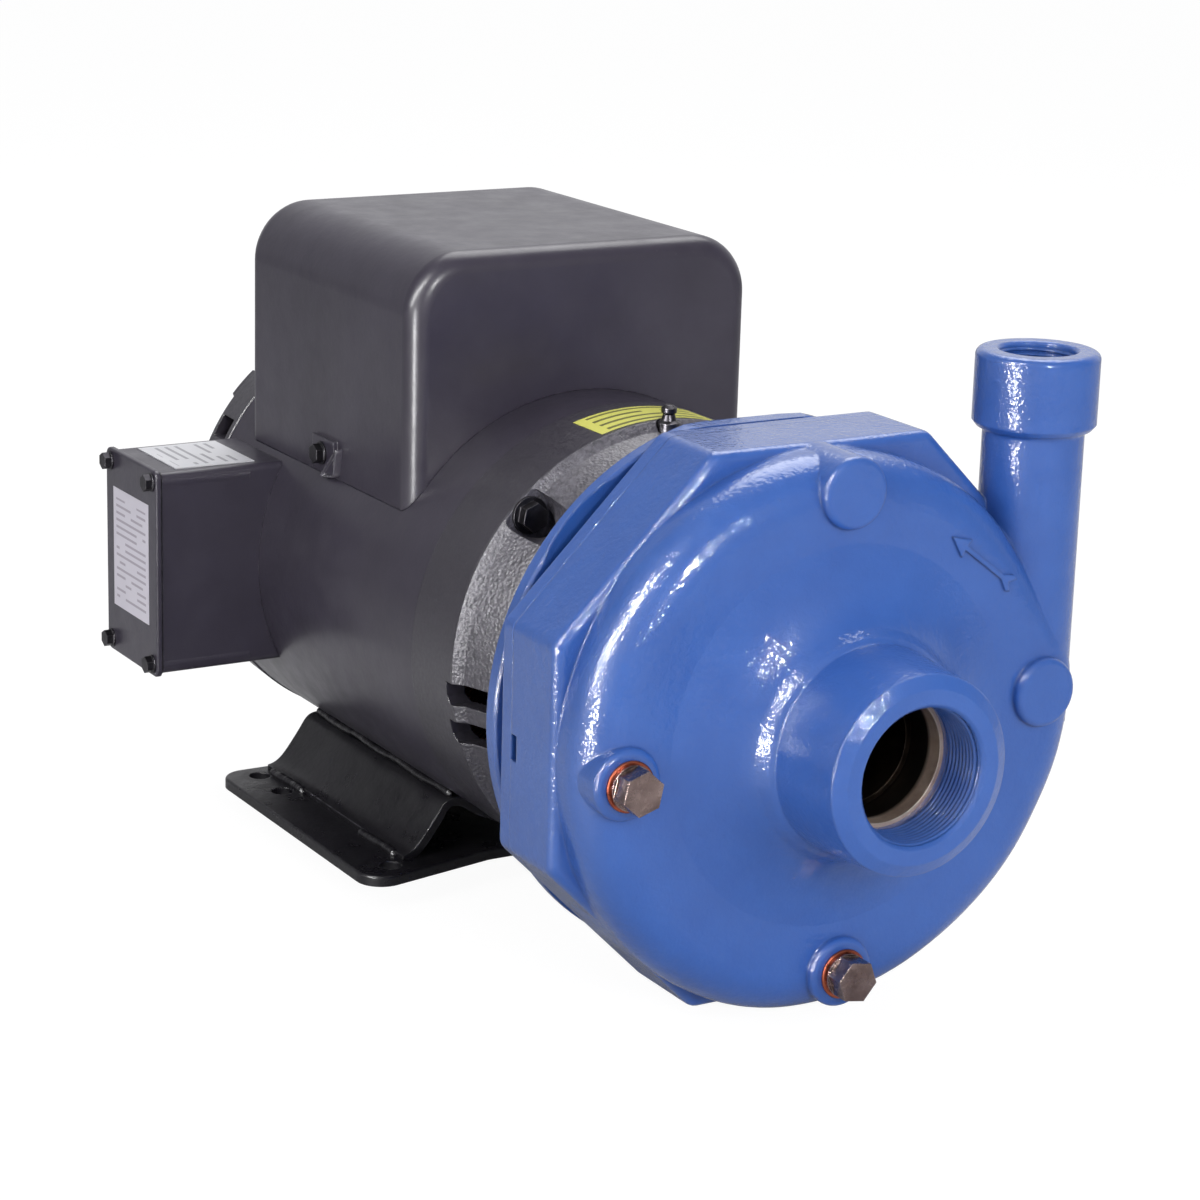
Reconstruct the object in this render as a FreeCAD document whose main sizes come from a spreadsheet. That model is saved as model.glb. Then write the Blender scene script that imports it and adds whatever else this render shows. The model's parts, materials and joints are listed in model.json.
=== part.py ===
"""Close-coupled centrifugal water pump on a 184JM-frame single-phase motor.

Frame: origin at the centre of the foot bolt pattern on the underside of the base,
+Z up, +Y from the suction end to the rear of the motor, +X to the discharge side.
The shaft axis runs along Y. Units: millimetres and degrees.
"""
import FreeCAD, Part
import math
import os
import Sketcher
import PartDesign  # registers the PartDesign object types
from FreeCAD import Placement, Rotation, Vector

os.makedirs("parts", exist_ok=True)
doc = FreeCAD.newDocument("CentrifugalWaterPump")

# ---------------------------------------------------------------- driving dimensions
# alias, value, note; heights inside a piece are measured from the shaft axis
DIMENSIONS = [
    ("shaft_height", 114.3, "foot underside to shaft axis"),
    ("suction_face", -337.5, "suction boss face"),
    ("boss_face", -284.0, "front faces of the four bosses"),
    ("casing_front", -280.0, "flat front of the casing"),
    ("flange_front", -256.0, "front of the octagonal flange"),
    ("casing_rear", -221.5, "casing to adapter joint"),
    ("adapter_rear", -213.0, "rear of the adapter's octagonal plate"),
    ("ring_front", -206.0, "front of the adapter's ring flange"),
    ("ring_rear", -197.0, "rear of the adapter's ring flange"),
    ("motor_face", -161.0, "motor mounting face"),
    ("shell_front", -100.0, "front shield to shell seam"),
    ("shell_rear", 118.0, "shell to rear shield seam"),
    ("motor_rear", 150.0, "rear of the rear shield"),
    ("octagon_flats", 239.0, "across flats of the casing flange"),
    ("octagon_corner", 7.0, "corner rounding of the octagon"),
    ("front_fillet", 18.0, "rounding of the casing front"),
    ("suction_od", 82.6, "suction boss diameter"),
    ("suction_bore_rad", 28.3, "2 in NPT minor radius at the mouth"),
    ("suction_thread_len", 26.0, "suction thread depth"),
    ("eye_seat_rad", 31.0, "wear ring seat radius"),
    ("wear_bore_rad", 26.6, "wear ring bore radius"),
    ("boss_circle_rad", 101.6, "pitch radius of the four bosses"),
    ("boss_rad", 12.6, "boss face radius"),
    ("boss_angle_right", 3.4, "right boss angle"),
    ("boss_angle_left", 182.7, "left boss angle"),
    ("boss_angle_low", 272.4, "bottom boss angle"),
    ("discharge_x", 106.5, "discharge axis offset"),
    ("discharge_y", -257.0, "discharge axis position"),
    ("discharge_top", 147.0, "discharge face above the shaft"),
    ("collar_low", 114.5, "underside of the discharge collar"),
    ("collar_rad", 26.0, "discharge collar radius"),
    ("neck_rad", 21.3, "discharge neck radius"),
    ("discharge_bore_rad", 16.0, "1 in NPT minor radius at the mouth"),
    ("discharge_thread_len", 24.0, "discharge thread depth"),
    ("passage_rad", 13.0, "discharge passage radius"),
    ("impeller_rad", 80.0, "impeller outer radius"),
    ("shaft_rad", 11.11, "pump end shaft radius"),
    ("shaft_end", -269.7, "pump end of the shaft"),
    ("sleeve_rad", 15.0, "shaft sleeve radius"),
    ("ring_rad", 118.5, "adapter ring flange radius"),
    ("shell_rad", 101.4, "motor shell outer radius"),
    ("shell_wall", 3.0, "motor shell wall"),
    ("shield_rad", 102.0, "shield band radius"),
    ("stator_bore", 58.0, "stator bore radius"),
    ("air_gap", 0.5, "rotor air gap"),
    ("stack_half", 60.0, "half length of the core stack"),
    ("front_bearing_pos", -152.0, "front bearing front face"),
    ("rear_bearing_pos", 122.0, "rear bearing front face"),
    ("cap_half_width", 87.0, "capacitor cover half width"),
    ("cap_front", -68.0, "capacitor cover front"),
    ("cap_rear", 101.0, "capacitor cover rear"),
    ("cap_top", 166.8, "capacitor cover top above the shaft"),
    ("cap_corner", 27.5, "capacitor cover side rounding"),
    ("cap_edge", 9.0, "capacitor cover end rounding"),
    ("cap_wall", 1.8, "capacitor cover sheet"),
    ("box_outer", -150.5, "conduit box opening plane"),
    ("box_front", 58.0, "conduit box front wall"),
    ("box_rear", 115.4, "conduit box rear wall"),
    ("box_low", -47.5, "conduit box bottom above the shaft"),
    ("box_high", 49.3, "conduit box top above the shaft"),
    ("box_wall", 2.2, "conduit box wall"),
    ("lid_thick", 2.6, "conduit box cover plate"),
    ("base_half_width", 112.0, "base plate half width"),
    ("base_front", -85.0, "base plate front corners"),
    ("base_rear", 82.8, "base plate rear"),
    ("base_thick", 5.0, "base plate thickness"),
    ("hole_half_x", 95.25, "foot hole offset across, 7.5 in spacing"),
    ("hole_half_y", 69.85, "foot hole offset along, 5.5 in spacing"),
    ("hole_mid_y", 44.45, "foot hole for the 4.5 in spacing"),
    ("hole_rad", 5.2, "foot hole radius"),
    ("saddle_sheet", 4.0, "saddle sheet thickness"),
    ("saddle_front", -66.0, "saddle front edge"),
    ("saddle_rear", 78.5, "saddle rear edge"),
]


class Size:
    """A number together with the sheet expression that drives it."""

    def __init__(self, value, text):
        self.value = float(value)
        self.text = text

    def __add__(self, other):
        other = size(other)
        return Size(self.value + other.value, "(%s + %s)" % (self.text, other.text))

    def __sub__(self, other):
        other = size(other)
        return Size(self.value - other.value, "(%s - %s)" % (self.text, other.text))

    def __mul__(self, other):
        other = size(other)
        return Size(self.value * other.value, "(%s * %s)" % (self.text, other.text))

    def __truediv__(self, other):
        other = size(other)
        return Size(self.value / other.value, "(%s / %s)" % (self.text, other.text))

    def __neg__(self):
        return Size(-self.value, "(0 - %s)" % self.text)

    def driven(self):
        return "Dims." in self.text


def size(number):
    if isinstance(number, Size):
        return number
    return Size(number, "(0 - %.6f)" % -number if number < 0 else "%.6f" % number)


class Dimensions:
    """The driving dimensions, one Size attribute per alias."""


dim = Dimensions()
sheet = doc.addObject("Spreadsheet::Sheet", "Dims")
for row, (alias, value, note) in enumerate(DIMENSIONS, start=1):
    sheet.set("A%d" % row, alias)
    sheet.set("B%d" % row, str(value))
    sheet.set("C%d" % row, note)
    sheet.setAlias("B%d" % row, alias)
    setattr(dim, alias, Size(value, "Dims." + alias))
doc.recompute()

SHAFT_Z = dim.shaft_height
TO_SHAFT = Vector(0, 0, SHAFT_Z.value)
X_AXIS, Y_AXIS, Z_AXIS = Vector(1, 0, 0), Vector(0, 1, 0), Vector(0, 0, 1)


# ---------------------------------------------------------------- outlines
def at_polar(radius, degrees):
    angle = math.radians(degrees)
    return radius * math.cos(angle), radius * math.sin(angle)


def ring_spots(radius, angles):
    return [at_polar(radius, angle) for angle in angles]


def circles(spots, radius):
    return [("circle", x, y, radius) for x, y in spots]


def rect(u_low, u_high, w_low, w_high):
    return [(u_low, w_low), (u_high, w_low), (u_high, w_high), (u_low, w_high)]


def hexagon(flats):
    corner = flats * 0.5 / math.cos(math.pi / 6)
    return ring_spots(corner, [60.0 * i + 30.0 for i in range(6)])


def spline(points):
    curve = Part.BSplineCurve()
    curve.interpolate(points)
    return curve


def closed_curve(stations, y):
    """Closed wire through (degrees, radius) stations about the Y axis."""
    spots = [at_polar(radius, angle) for angle, radius in stations]
    curve = Part.BSplineCurve()
    curve.interpolate([Vector(x, y, z) for x, z in spots], PeriodicFlag=True)
    return Part.Wire([curve.toShape()])


def face_between(curve_out, curve_back):
    """Face bounded by two curves and the lines that join their ends.

    Both are (shape, first point, last point); the second runs the same way."""
    out, out_first, out_last = curve_out
    back, back_first, back_last = curve_back
    return Part.Face(Part.Wire([out, Part.makeLine(out_last, back_last), back,
                                Part.makeLine(back_first, out_first)]))


# ---------------------------------------------------------------- document helpers
def bind(obj, prop, amount):
    if amount.driven():
        obj.setExpression(prop, amount.text)


def place(obj, x, y, z, rotation=Rotation()):
    x, y, z = size(x), size(y), size(z)
    obj.Placement = Placement(Vector(x.value, y.value, z.value), rotation)
    for axis, amount in (("x", x), ("y", y), ("z", z)):
        bind(obj, "Placement.Base." + axis, amount)


def origin_feature(body, role):
    for feature in body.Origin.OriginFeatures:
        if feature.Role == role:
            return feature
    raise RuntimeError(role)


def new_body(label, x=0, y=0, z=SHAFT_Z):
    """A PartDesign body whose local origin lies on the shaft axis unless told otherwise."""
    body = doc.addObject("PartDesign::Body", label)
    body.Label = label
    place(body, x, y, z)
    return body


def pin_point(sk, geo, pos, u, w):
    """Place a sketch point at u, w with constraints that follow the sheet."""
    for kind, amount, axis in (("DistanceX", u, -2), ("DistanceY", w, -1)):
        if abs(amount.value) < 1e-9:
            sk.addConstraint(Sketcher.Constraint("PointOnObject", geo, pos, axis))
            continue
        index = sk.addConstraint(Sketcher.Constraint(kind, -1, 1, geo, pos, amount.value))
        bind(sk, "Constraints[%d]" % index, amount)


def add_circle(sk, u, w, radius):
    circle = Part.Circle(Vector(u.value, w.value, 0), Z_AXIS, radius.value)
    geo = sk.addGeometry(circle, False)
    index = sk.addConstraint(Sketcher.Constraint("Radius", geo, radius.value))
    bind(sk, "Constraints[%d]" % index, radius)
    pin_point(sk, geo, 3, u, w)


def add_polygon(sk, corners):
    ids = []
    for (u, w), (next_u, next_w) in zip(corners, corners[1:] + corners[:1]):
        line = Part.LineSegment(Vector(u.value, w.value, 0), Vector(next_u.value, next_w.value, 0))
        ids.append(sk.addGeometry(line, False))
    for geo, next_geo in zip(ids, ids[1:] + ids[:1]):
        sk.addConstraint(Sketcher.Constraint("Coincident", geo, 2, next_geo, 1))
    for geo, (u, w) in zip(ids, corners):
        pin_point(sk, geo, 1, u, w)


def sketch(body, name, role, loops, offset=0):
    """A sketch on one of the body's own planes.

    A loop is a list of (u, w) corners, or a tuple ("circle", u, w, radius)."""
    sk = body.newObject("Sketcher::SketchObject", name)
    sk.AttachmentSupport = [(origin_feature(body, role), "")]
    sk.MapMode = "FlatFace"
    offset = size(offset)
    sk.AttachmentOffset = Placement(Vector(0, 0, offset.value), Rotation())
    bind(sk, "AttachmentOffset.Base.z", offset)
    for loop in loops:
        if loop[0] == "circle":
            add_circle(sk, *[size(number) for number in loop[1:]])
        else:
            add_polygon(sk, [(size(u), size(w)) for u, w in loop])
    return sk


def revolve(label, profile, upright=False, body=None, **where):
    """Turned piece: (along, radius) corners about local Y, or, when upright,
    (radius, height) corners about local Z."""
    body = body or new_body(label, **where)
    sk = sketch(body, label + "_profile", "XZ_Plane" if upright else "YZ_Plane", [profile])
    turn = body.newObject("PartDesign::Revolution", label + "_turn")
    turn.Profile = sk
    turn.ReferenceAxis = (sk, ["V_Axis" if upright else "H_Axis"])
    turn.Angle = 360
    body.Tip = turn
    return body


def pad(body, name, axis, loops, start, end, pocket=False):
    """Pad or pocket of an outline between two positions along X, Y or Z.

    Outlines are (y, z), (x, z) or (x, y). The XZ plane faces -Y, so a Y pad
    starts at its rear end; X and Z pads start at their low end."""
    start, end = size(start), size(end)
    role = {"X": "YZ_Plane", "Y": "XZ_Plane", "Z": "XY_Plane"}[axis]
    offset, length = (-start, start - end) if axis == "Y" else (start, end - start)
    sk = sketch(body, name + "_outline", role, loops, offset)
    feature = body.newObject("PartDesign::Pocket" if pocket else "PartDesign::Pad", name)
    feature.Profile = sk
    feature.Length = length.value
    bind(feature, "Length", length)
    if pocket:
        feature.Reversed = True
    body.Tip = feature
    return feature


def pad_body(label, name, axis, loops, start, end):
    body = new_body(label)
    pad(body, name, axis, loops, start, end)
    return body


def in_plane(edge, axis, position):
    """Whether an edge lies in the plane where the axis has this position."""
    box = edge.BoundBox
    ends = (getattr(box, axis + "Min"), getattr(box, axis + "Max"))
    return all(abs(end - size(position).value) < 0.01 for end in ends)


def round_edges(body, name, radius, pick):
    """Fillet the edges of the body's tip that pick() accepts (local coordinates)."""
    doc.recompute()
    tip = body.Tip
    names = ["Edge%d" % i for i, edge in enumerate(tip.Shape.Edges, start=1) if pick(edge)]
    if not names:
        raise RuntimeError("no edges for " + name)
    fillet = body.newObject("PartDesign::Fillet", name)
    fillet.Base = (tip, names)
    radius = size(radius)
    fillet.Radius = radius.value
    bind(fillet, "Radius", radius)
    body.Tip = fillet
    doc.recompute()


def polar(body, name, feature, count):
    """Repeat a feature about the body's local Y axis."""
    doc.recompute()
    pattern = body.newObject("PartDesign::PolarPattern", name)
    pattern.Originals = [feature]
    pattern.Axis = (origin_feature(body, "Y_Axis"), [""])
    pattern.Angle = 360
    pattern.Occurrences = count
    body.Tip = pattern


def part_cylinder(name, radius, height, x, y, z, along):
    """Part::Cylinder in world position, growing along +X, +Y or +Z."""
    cylinder = doc.addObject("Part::Cylinder", name)
    radius, height = size(radius), size(height)
    cylinder.Radius = radius.value
    cylinder.Height = height.value
    bind(cylinder, "Radius", radius)
    bind(cylinder, "Height", height)
    turns = {"Z": Rotation(), "Y": Rotation(X_AXIS, -90), "X": Rotation(Y_AXIS, 90)}
    place(cylinder, x, y, z, turns[along])
    return cylinder


def part_box(name, x_low, x_high, y_low, y_high, z_low, z_high):
    """Part::Box in world position."""
    box = doc.addObject("Part::Box", name)
    for prop, low, high in (("Length", x_low, x_high), ("Width", y_low, y_high),
                            ("Height", z_low, z_high)):
        length = size(high) - low
        setattr(box, prop, length.value)
        bind(box, prop, length)
    place(box, x_low, y_low, z_low)
    return box


def fuse(name, shapes):
    result = doc.addObject("Part::MultiFuse", name)
    result.Label = name
    result.Shapes = shapes
    result.Refine = False
    return result


def cut(name, base, tool):
    result = doc.addObject("Part::Cut", name)
    result.Label = name
    result.Base = base
    result.Tool = tool
    result.Refine = False
    return result


def common(name, first, second):
    result = doc.addObject("Part::Common", name)
    result.Label = name
    result.Base = first
    result.Tool = second
    return result


def shape_of(name, shape):
    """A fixed shape in world position as a document object."""
    feature = doc.addObject("Part::Feature", name)
    feature.Label = name
    where = shape.Placement
    feature.Shape = shape
    feature.Placement = where
    return feature


def shaft_shape(name, shape):
    """A fixed shape, modelled about the shaft axis and raised to its height."""
    shape.translate(TO_SHAFT)
    return shape_of(name, shape)


def group(label, source, places):
    """One compound of placed copies of a source object."""
    doc.recompute()
    copies = []
    for placement in places:
        shape = source.Shape.copy()
        shape.Placement = placement.multiply(shape.Placement)
        copies.append(shape)
    return shape_of(label, Part.makeCompound(copies))


def at_spots(y, spots, rotation=Rotation()):
    """Placements at one y for (x, z) spots measured from the shaft axis."""
    return [Placement(Vector(size(x).value, size(y).value, size(z).value + SHAFT_Z.value), rotation)
            for x, z in spots]


def hexbolt(name, flats, head, shank, length, washer=0.0, washer_rad=0.0):
    """Hex bolt along local Y: head from y=0 towards -y, shank of radius `shank` towards +y."""
    body = new_body(name, z=0)
    revolve(name + "_shank", [(0, 0), (0, shank), (length - 0.8, shank), (length, shank - 0.8),
                              (length, 0)], body=body)
    pad(body, name + "_head", "Y", [hexagon(flats)], 0, -(head + washer))
    if washer:
        pad(body, name + "_flange", "Y", [("circle", 0, 0, washer_rad)], 0, -washer)
    return body


PIECES = []  # (file name, object)


def keep(obj, name=None):
    """List an object for export, under its own label unless named."""
    PIECES.append((name or obj.Label, obj))


# ---------------------------------------------------------------- shared places
CASING_BOLTS = ring_spots(107.0, [22.5 + 45 * i for i in range(8)])
DIAGONALS = [45, 135, 225, 315]
ADAPTER_BOLTS = ring_spots(74.6, DIAGONALS)
THROUGH_RAD = 94.5  # pitch radius of the through bolts
THROUGH_BOLTS = ring_spots(THROUGH_RAD, DIAGONALS)
GASKET_INNER, GASKET_OUTER, GASKET_DEPTH = 98.0, 101.5, 2.6
RING_SEAT_REAR = -275.0  # rear end of the wear ring and its seat
THREAD_END = dim.suction_face + dim.suction_thread_len
SHELL_BORE = dim.shell_rad - dim.shell_wall
LEAD_HOLE_Y = 89.0
FITTING_Y = -141.0  # grease fitting axis

# parts that sit on the motor shell are trimmed by a drum slightly larger than it
DRUM_RAD = dim.shell_rad + 0.05
DRUM_START, DRUM_LENGTH = -150.0, 300.0
DRUM = Part.makeCylinder(DRUM_RAD.value, DRUM_LENGTH, Vector(0, DRUM_START, 0), Y_AXIS)


def part_drum(name):
    return part_cylinder(name, DRUM_RAD, DRUM_LENGTH, 0, DRUM_START, SHAFT_Z, "Y")


def boss_at(angle):
    """Sheet-driven (x, z) of a boss on the boss circle."""
    radius = dim.boss_circle_rad
    turn = math.radians(angle.value)
    return (Size(radius.value * math.cos(turn), "(%s * cos(%s * 1 deg))" % (radius.text, angle.text)),
            Size(radius.value * math.sin(turn), "(%s * sin(%s * 1 deg))" % (radius.text, angle.text)))


BOSS_LEFT = boss_at(dim.boss_angle_left)
BOSS_LOW = boss_at(dim.boss_angle_low)
BOSS_RIGHT = boss_at(dim.boss_angle_right)

# The eight sides of the octagon stand at slightly different distances from the shaft.
# Distances of sides 0, 45, ... 315 degrees, for 239 mm across flats.
SIDE_DISTANCES = [119.5, 121.0, 116.6, 117.2, 119.5, 118.6, 118.0, 119.5]
SIDE_REFERENCE = 239.0


def octagon():
    """Corners where neighbouring sides meet."""
    corners = []
    for i in range(8):
        angle, next_angle = math.radians(45.0 * i), math.radians(45.0 * (i + 1))
        near = SIDE_DISTANCES[i] / SIDE_REFERENCE
        far = SIDE_DISTANCES[(i + 1) % 8] / SIDE_REFERENCE
        spread = math.sin(next_angle - angle)
        x = (near * math.sin(next_angle) - far * math.sin(angle)) / spread
        z = (far * math.cos(angle) - near * math.cos(next_angle)) / spread
        corners.append((dim.octagon_flats * x, dim.octagon_flats * z))
    return corners


def octagon_plate(label, pad_name, corner_name, rear, front):
    """Octagonal plate with rounded corners."""
    body = pad_body(label, pad_name, "Y", [octagon()], rear, front)
    round_edges(body, corner_name, dim.octagon_corner,
                lambda e: e.BoundBox.YLength > 5 and e.BoundBox.XLength < 0.1)
    return body


# ---------------------------------------------------------------- casing
# outer volute outline: degrees, radius
VOLUTE = [
    (40, 114.0), (65, 114.5), (90, 115.0), (112, 115.5), (135, 116.2), (158, 117.0),
    (180, 118.0), (200, 119.0), (220, 119.8), (240, 120.5), (258, 121.0), (275, 120.3),
    (290, 119.8), (300, 119.6), (309, 120.0), (318, 120.8), (327, 121.5), (337, 122.2),
    (346, 123.8), (356, 125.0), (368, 125.5), (382, 118.0)]
# channel outline: radius grows evenly round the shaft, then drops back; degrees, radius
CHANNEL = [(40 + 20.0 * i, 88.5 + 1.375 * i) for i in range(17)] + [(371, 108.0), (384, 98.0)]
# concave flare between the suction boss and the flat front: y, radius
FLARE = [(-299.0, 44.6), (-298.0, 45.9), (-294.0, 48.2), (-290.5, 51.6), (-287.4, 56.2),
         (-284.6, 62.0), (-282.2, 69.5), (-280.2, 79.0), (-279.4, 86.0)]
FLARE_REAR, FLARE_INNER = -276.0, 30.0


def casing_volute():
    rear = dim.casing_rear.value - 8
    front = dim.casing_front.value
    solid = Part.Face(closed_curve(VOLUTE, rear)).extrude(Vector(0, front - rear, 0))
    front_edges = [edge for edge in solid.Edges if in_plane(edge, "Y", front)]
    return shaft_shape("casing_volute", solid.makeFillet(dim.front_fillet.value, front_edges))


def casing_flange():
    body = octagon_plate("casing_flange", "flange_pad", "flange_corners", dim.casing_rear,
                         dim.flange_front)
    round_edges(body, "flange_front_round", 4.0, lambda e: in_plane(e, "Y", dim.flange_front))
    return body


def casing_suction_boss():
    face, radius = dim.suction_face, dim.suction_od / 2
    rear = dim.casing_front + 6
    return revolve("casing_suction_boss", [
        (rear, 0), (face, 0), (face, radius - 5.4), (face + 3.0, radius + 0.1),
        (-299.5, radius + 2.9), (-298.0, radius + 4.5), (rear, radius + 4.5)])


def casing_flare():
    points = [Vector(radius, y, 0) for y, radius in FLARE]
    corners = [points[-1], Vector(points[-1].x, FLARE_REAR, 0),
               Vector(FLARE_INNER, FLARE_REAR, 0), Vector(FLARE_INNER, points[0].y, 0), points[0]]
    lines = [Part.makeLine(start, end) for start, end in zip(corners, corners[1:])]
    wire = Part.Wire([spline(points).toShape()] + lines)
    return shaft_shape("casing_flare", Part.Face(wire).revolve(Vector(0, 0, 0), Y_AXIS, 360))


def casing_discharge():
    """Neck and collar, turned about a vertical axis."""
    neck, collar, low, top = dim.neck_rad, dim.collar_rad, dim.collar_low, dim.discharge_top
    body = revolve("casing_discharge", [
        (0, -12), (neck, -12), (neck, low), (collar - 1.8, low), (collar, low + 2.2),
        (collar, top), (0, top)], upright=True, x=dim.discharge_x, y=dim.discharge_y)
    round_edges(body, "collar_top_round", 3.2,
                lambda e: in_plane(e, "Z", top) and e.BoundBox.XLength > 40)
    round_edges(body, "collar_root_round", 2.5, lambda e: in_plane(e, "Z", low)
                and abs(e.BoundBox.XLength - 2 * neck.value) < 0.5)
    return body


def casing_bosses():
    spots = [BOSS_RIGHT, (0, dim.boss_circle_rad), BOSS_LEFT, BOSS_LOW]
    body = pad_body("casing_bosses", "boss_pad", "Y", circles(spots, dim.boss_rad + 2.4),
                    dim.flange_front + 6, dim.boss_face)
    round_edges(body, "boss_round", 2.6, lambda e: in_plane(e, "Y", dim.boss_face))
    return body


def casing_arrow():
    """Raised flow arrow on the front face, pointing to the discharge neck's side of the top."""
    tail_x, tail_z = 80.5, 55.6
    run_x, run_z = 50.0 - tail_x, 78.3 - tail_z
    length = math.hypot(run_x, run_z)
    run_x, run_z = run_x / length, run_z / length
    # along the arrow from its tail, across it
    outline = [(5, -1.0), (0, -3.8), (-2.2, -3.0), (1.0, 0), (-2.2, 3.0), (0, 3.8), (5, 1.0),
               (29, 1.0), (28.4, 4.3), (38, 0), (28.4, -4.3), (29, -1.0)]
    loop = [(tail_x + run_x * along - run_z * across, tail_z + run_z * along + run_x * across)
            for along, across in outline]
    return pad_body("casing_arrow", "arrow_pad", "Y", [loop], dim.casing_front + 12,
                    dim.casing_front - 1.2)


def casing_bore():
    """Suction bore, wear ring seat and impeller chamber."""
    face, mouth, seat = dim.suction_face, dim.suction_bore_rad, dim.eye_seat_rad
    rear, chamber_rad = dim.casing_rear + 1, 88
    return revolve("casing_bore", [
        (face - 1, 0), (face - 1, mouth + 1.4), (face, mouth + 1.4), (face + 1.4, mouth),
        (THREAD_END, mouth), (THREAD_END, seat), (RING_SEAT_REAR, seat),
        (RING_SEAT_REAR, seat - 2.0), (-271.5, seat - 2.0), (-266.5, chamber_rad),
        (rear, chamber_rad), (rear, 0)])


def casing_channel():
    channel = Part.Face(closed_curve(CHANNEL, -242.0)).extrude(Vector(0, -25.0, 0))
    rims = [edge for edge in channel.Edges if edge.BoundBox.YLength < 0.01]
    # guards the rim fillet: if it fails, the channel stays sharp-edged
    try:
        channel = channel.makeFillet(6.0, rims)
    except Exception:
        pass
    return shaft_shape("casing_channel", channel)


def casing_discharge_bore():
    passage, mouth, top = dim.passage_rad, dim.discharge_bore_rad, dim.discharge_top
    thread_low = top - dim.discharge_thread_len
    return revolve("casing_discharge_bore", [
        (0, 0), (passage, 0), (passage, thread_low - 3), (mouth, thread_low),
        (mouth, top - 1.2), (mouth + 1.2, top), (mouth + 1.2, top + 1), (0, top + 1)],
        upright=True, x=dim.discharge_x, y=dim.discharge_y)


def casing():
    joint = dim.casing_rear
    blank = fuse("casing_blank", [
        casing_volute(), casing_flange(), casing_suction_boss(), casing_flare(),
        casing_discharge(), casing_bosses(), casing_arrow()])
    plug_holes = pad_body("casing_plug_holes", "plug_hole_pad", "Y",
                          circles([BOSS_LEFT, BOSS_LOW], 5.0), -266.0, dim.boss_face - 1)
    tapped = pad_body("casing_tapped_holes", "tapped_pad", "Y", circles(CASING_BOLTS, 4.0),
                      joint + 1, joint - 13)
    # slot in the -X side of the joint face
    slot = part_box("casing_pry_slot", -130, -107, joint - 4.6, joint + 1, SHAFT_Z - 10.0,
                    SHAFT_Z + 1.0)
    tools = fuse("casing_tools", [casing_bore(), casing_channel(), casing_discharge_bore(),
                                  plug_holes, tapped, slot])
    return cut("casing_raw", blank, tools)


keep(casing(), "casing")
keep(revolve("casing_wear_ring",
             rect(THREAD_END, RING_SEAT_REAR, dim.wear_bore_rad, dim.eye_seat_rad)))


# ---------------------------------------------------------------- plugs with washers
def plugs():
    face, seat = dim.boss_face, dim.boss_face - 1.5
    source = hexbolt("plug_source", flats=16.2, head=8.2, shank=4.95, length=14.0, washer=1.6,
                     washer_rad=9.4)
    for label, spot, turn in (("vent_plug", BOSS_LEFT, 12), ("drain_plug", BOSS_LOW, 40)):
        keep(group(label, source, at_spots(seat, [spot], Rotation(Y_AXIS, turn))))
        x, z = spot
        keep(revolve(label + "_washer", [
            (seat, 5.0), (seat, 10.2), (face - 1.1, 10.6), (face - 0.4, 10.6), (face, 10.2),
            (face, 5.0)], x=x, z=SHAFT_Z + z))


plugs()


# ---------------------------------------------------------------- adapter
def adapter_blank():
    plate_rear, face = dim.adapter_rear, dim.motor_face
    ring_front, ring_rear, ring = dim.ring_front, dim.ring_rear, dim.ring_rad
    plate = octagon_plate("adapter_plate", "adapter_plate_pad", "adapter_corners", plate_rear,
                          dim.casing_rear)
    round_edges(plate, "adapter_rear_round", 1.5, lambda e: in_plane(e, "Y", plate_rear))
    turned = revolve("adapter_turned", [
        (plate_rear - 1, 110), (plate_rear - 1, 114.0), (ring_front, 114.0),
        (ring_front, ring - 1), (ring_front + 1, ring), (ring_rear - 2, ring),
        (ring_rear, ring - 2), (ring_rear, 100), (-176.0, 93), (face, 93), (face, 57.4),
        (face - 4, 57.4), (face - 4, 50), (-173.0, 50), (-173.0, 84), (ring_rear + 1.5, 94),
        (ring_rear - 3.5, 94), (ring_rear - 3.5, 110)])
    hub = revolve("adapter_hub", [
        (plate_rear - 1, 20), (plate_rear - 1, 46), (plate_rear + 5, 42), (plate_rear + 8, 40),
        (plate_rear + 8, 20)])
    return fuse("adapter_blank", [plate, turned, hub])


def adapter_scallops():
    """Crescent scallops in the ring flange at the diagonals."""
    radius, reach = 102.0, 96.0
    cutters = []
    for angle in DIAGONALS:
        cutter = Part.makeCylinder(radius, 60.0, Vector(0, 0, 0), Z_AXIS)
        cutter.translate(Vector(0, dim.ring_front.value + 2.5 - radius, reach))
        cutter.rotate(Vector(0, 0, 0), Y_AXIS, 90 - angle)
        cutters.append(cutter)
    # spares the octagonal plate
    limit = Part.makeCylinder(170, 40, Vector(0, dim.adapter_rear.value, 0), Y_AXIS)
    return shaft_shape("adapter_scallops", Part.makeCompound(cutters).common(limit))


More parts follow.
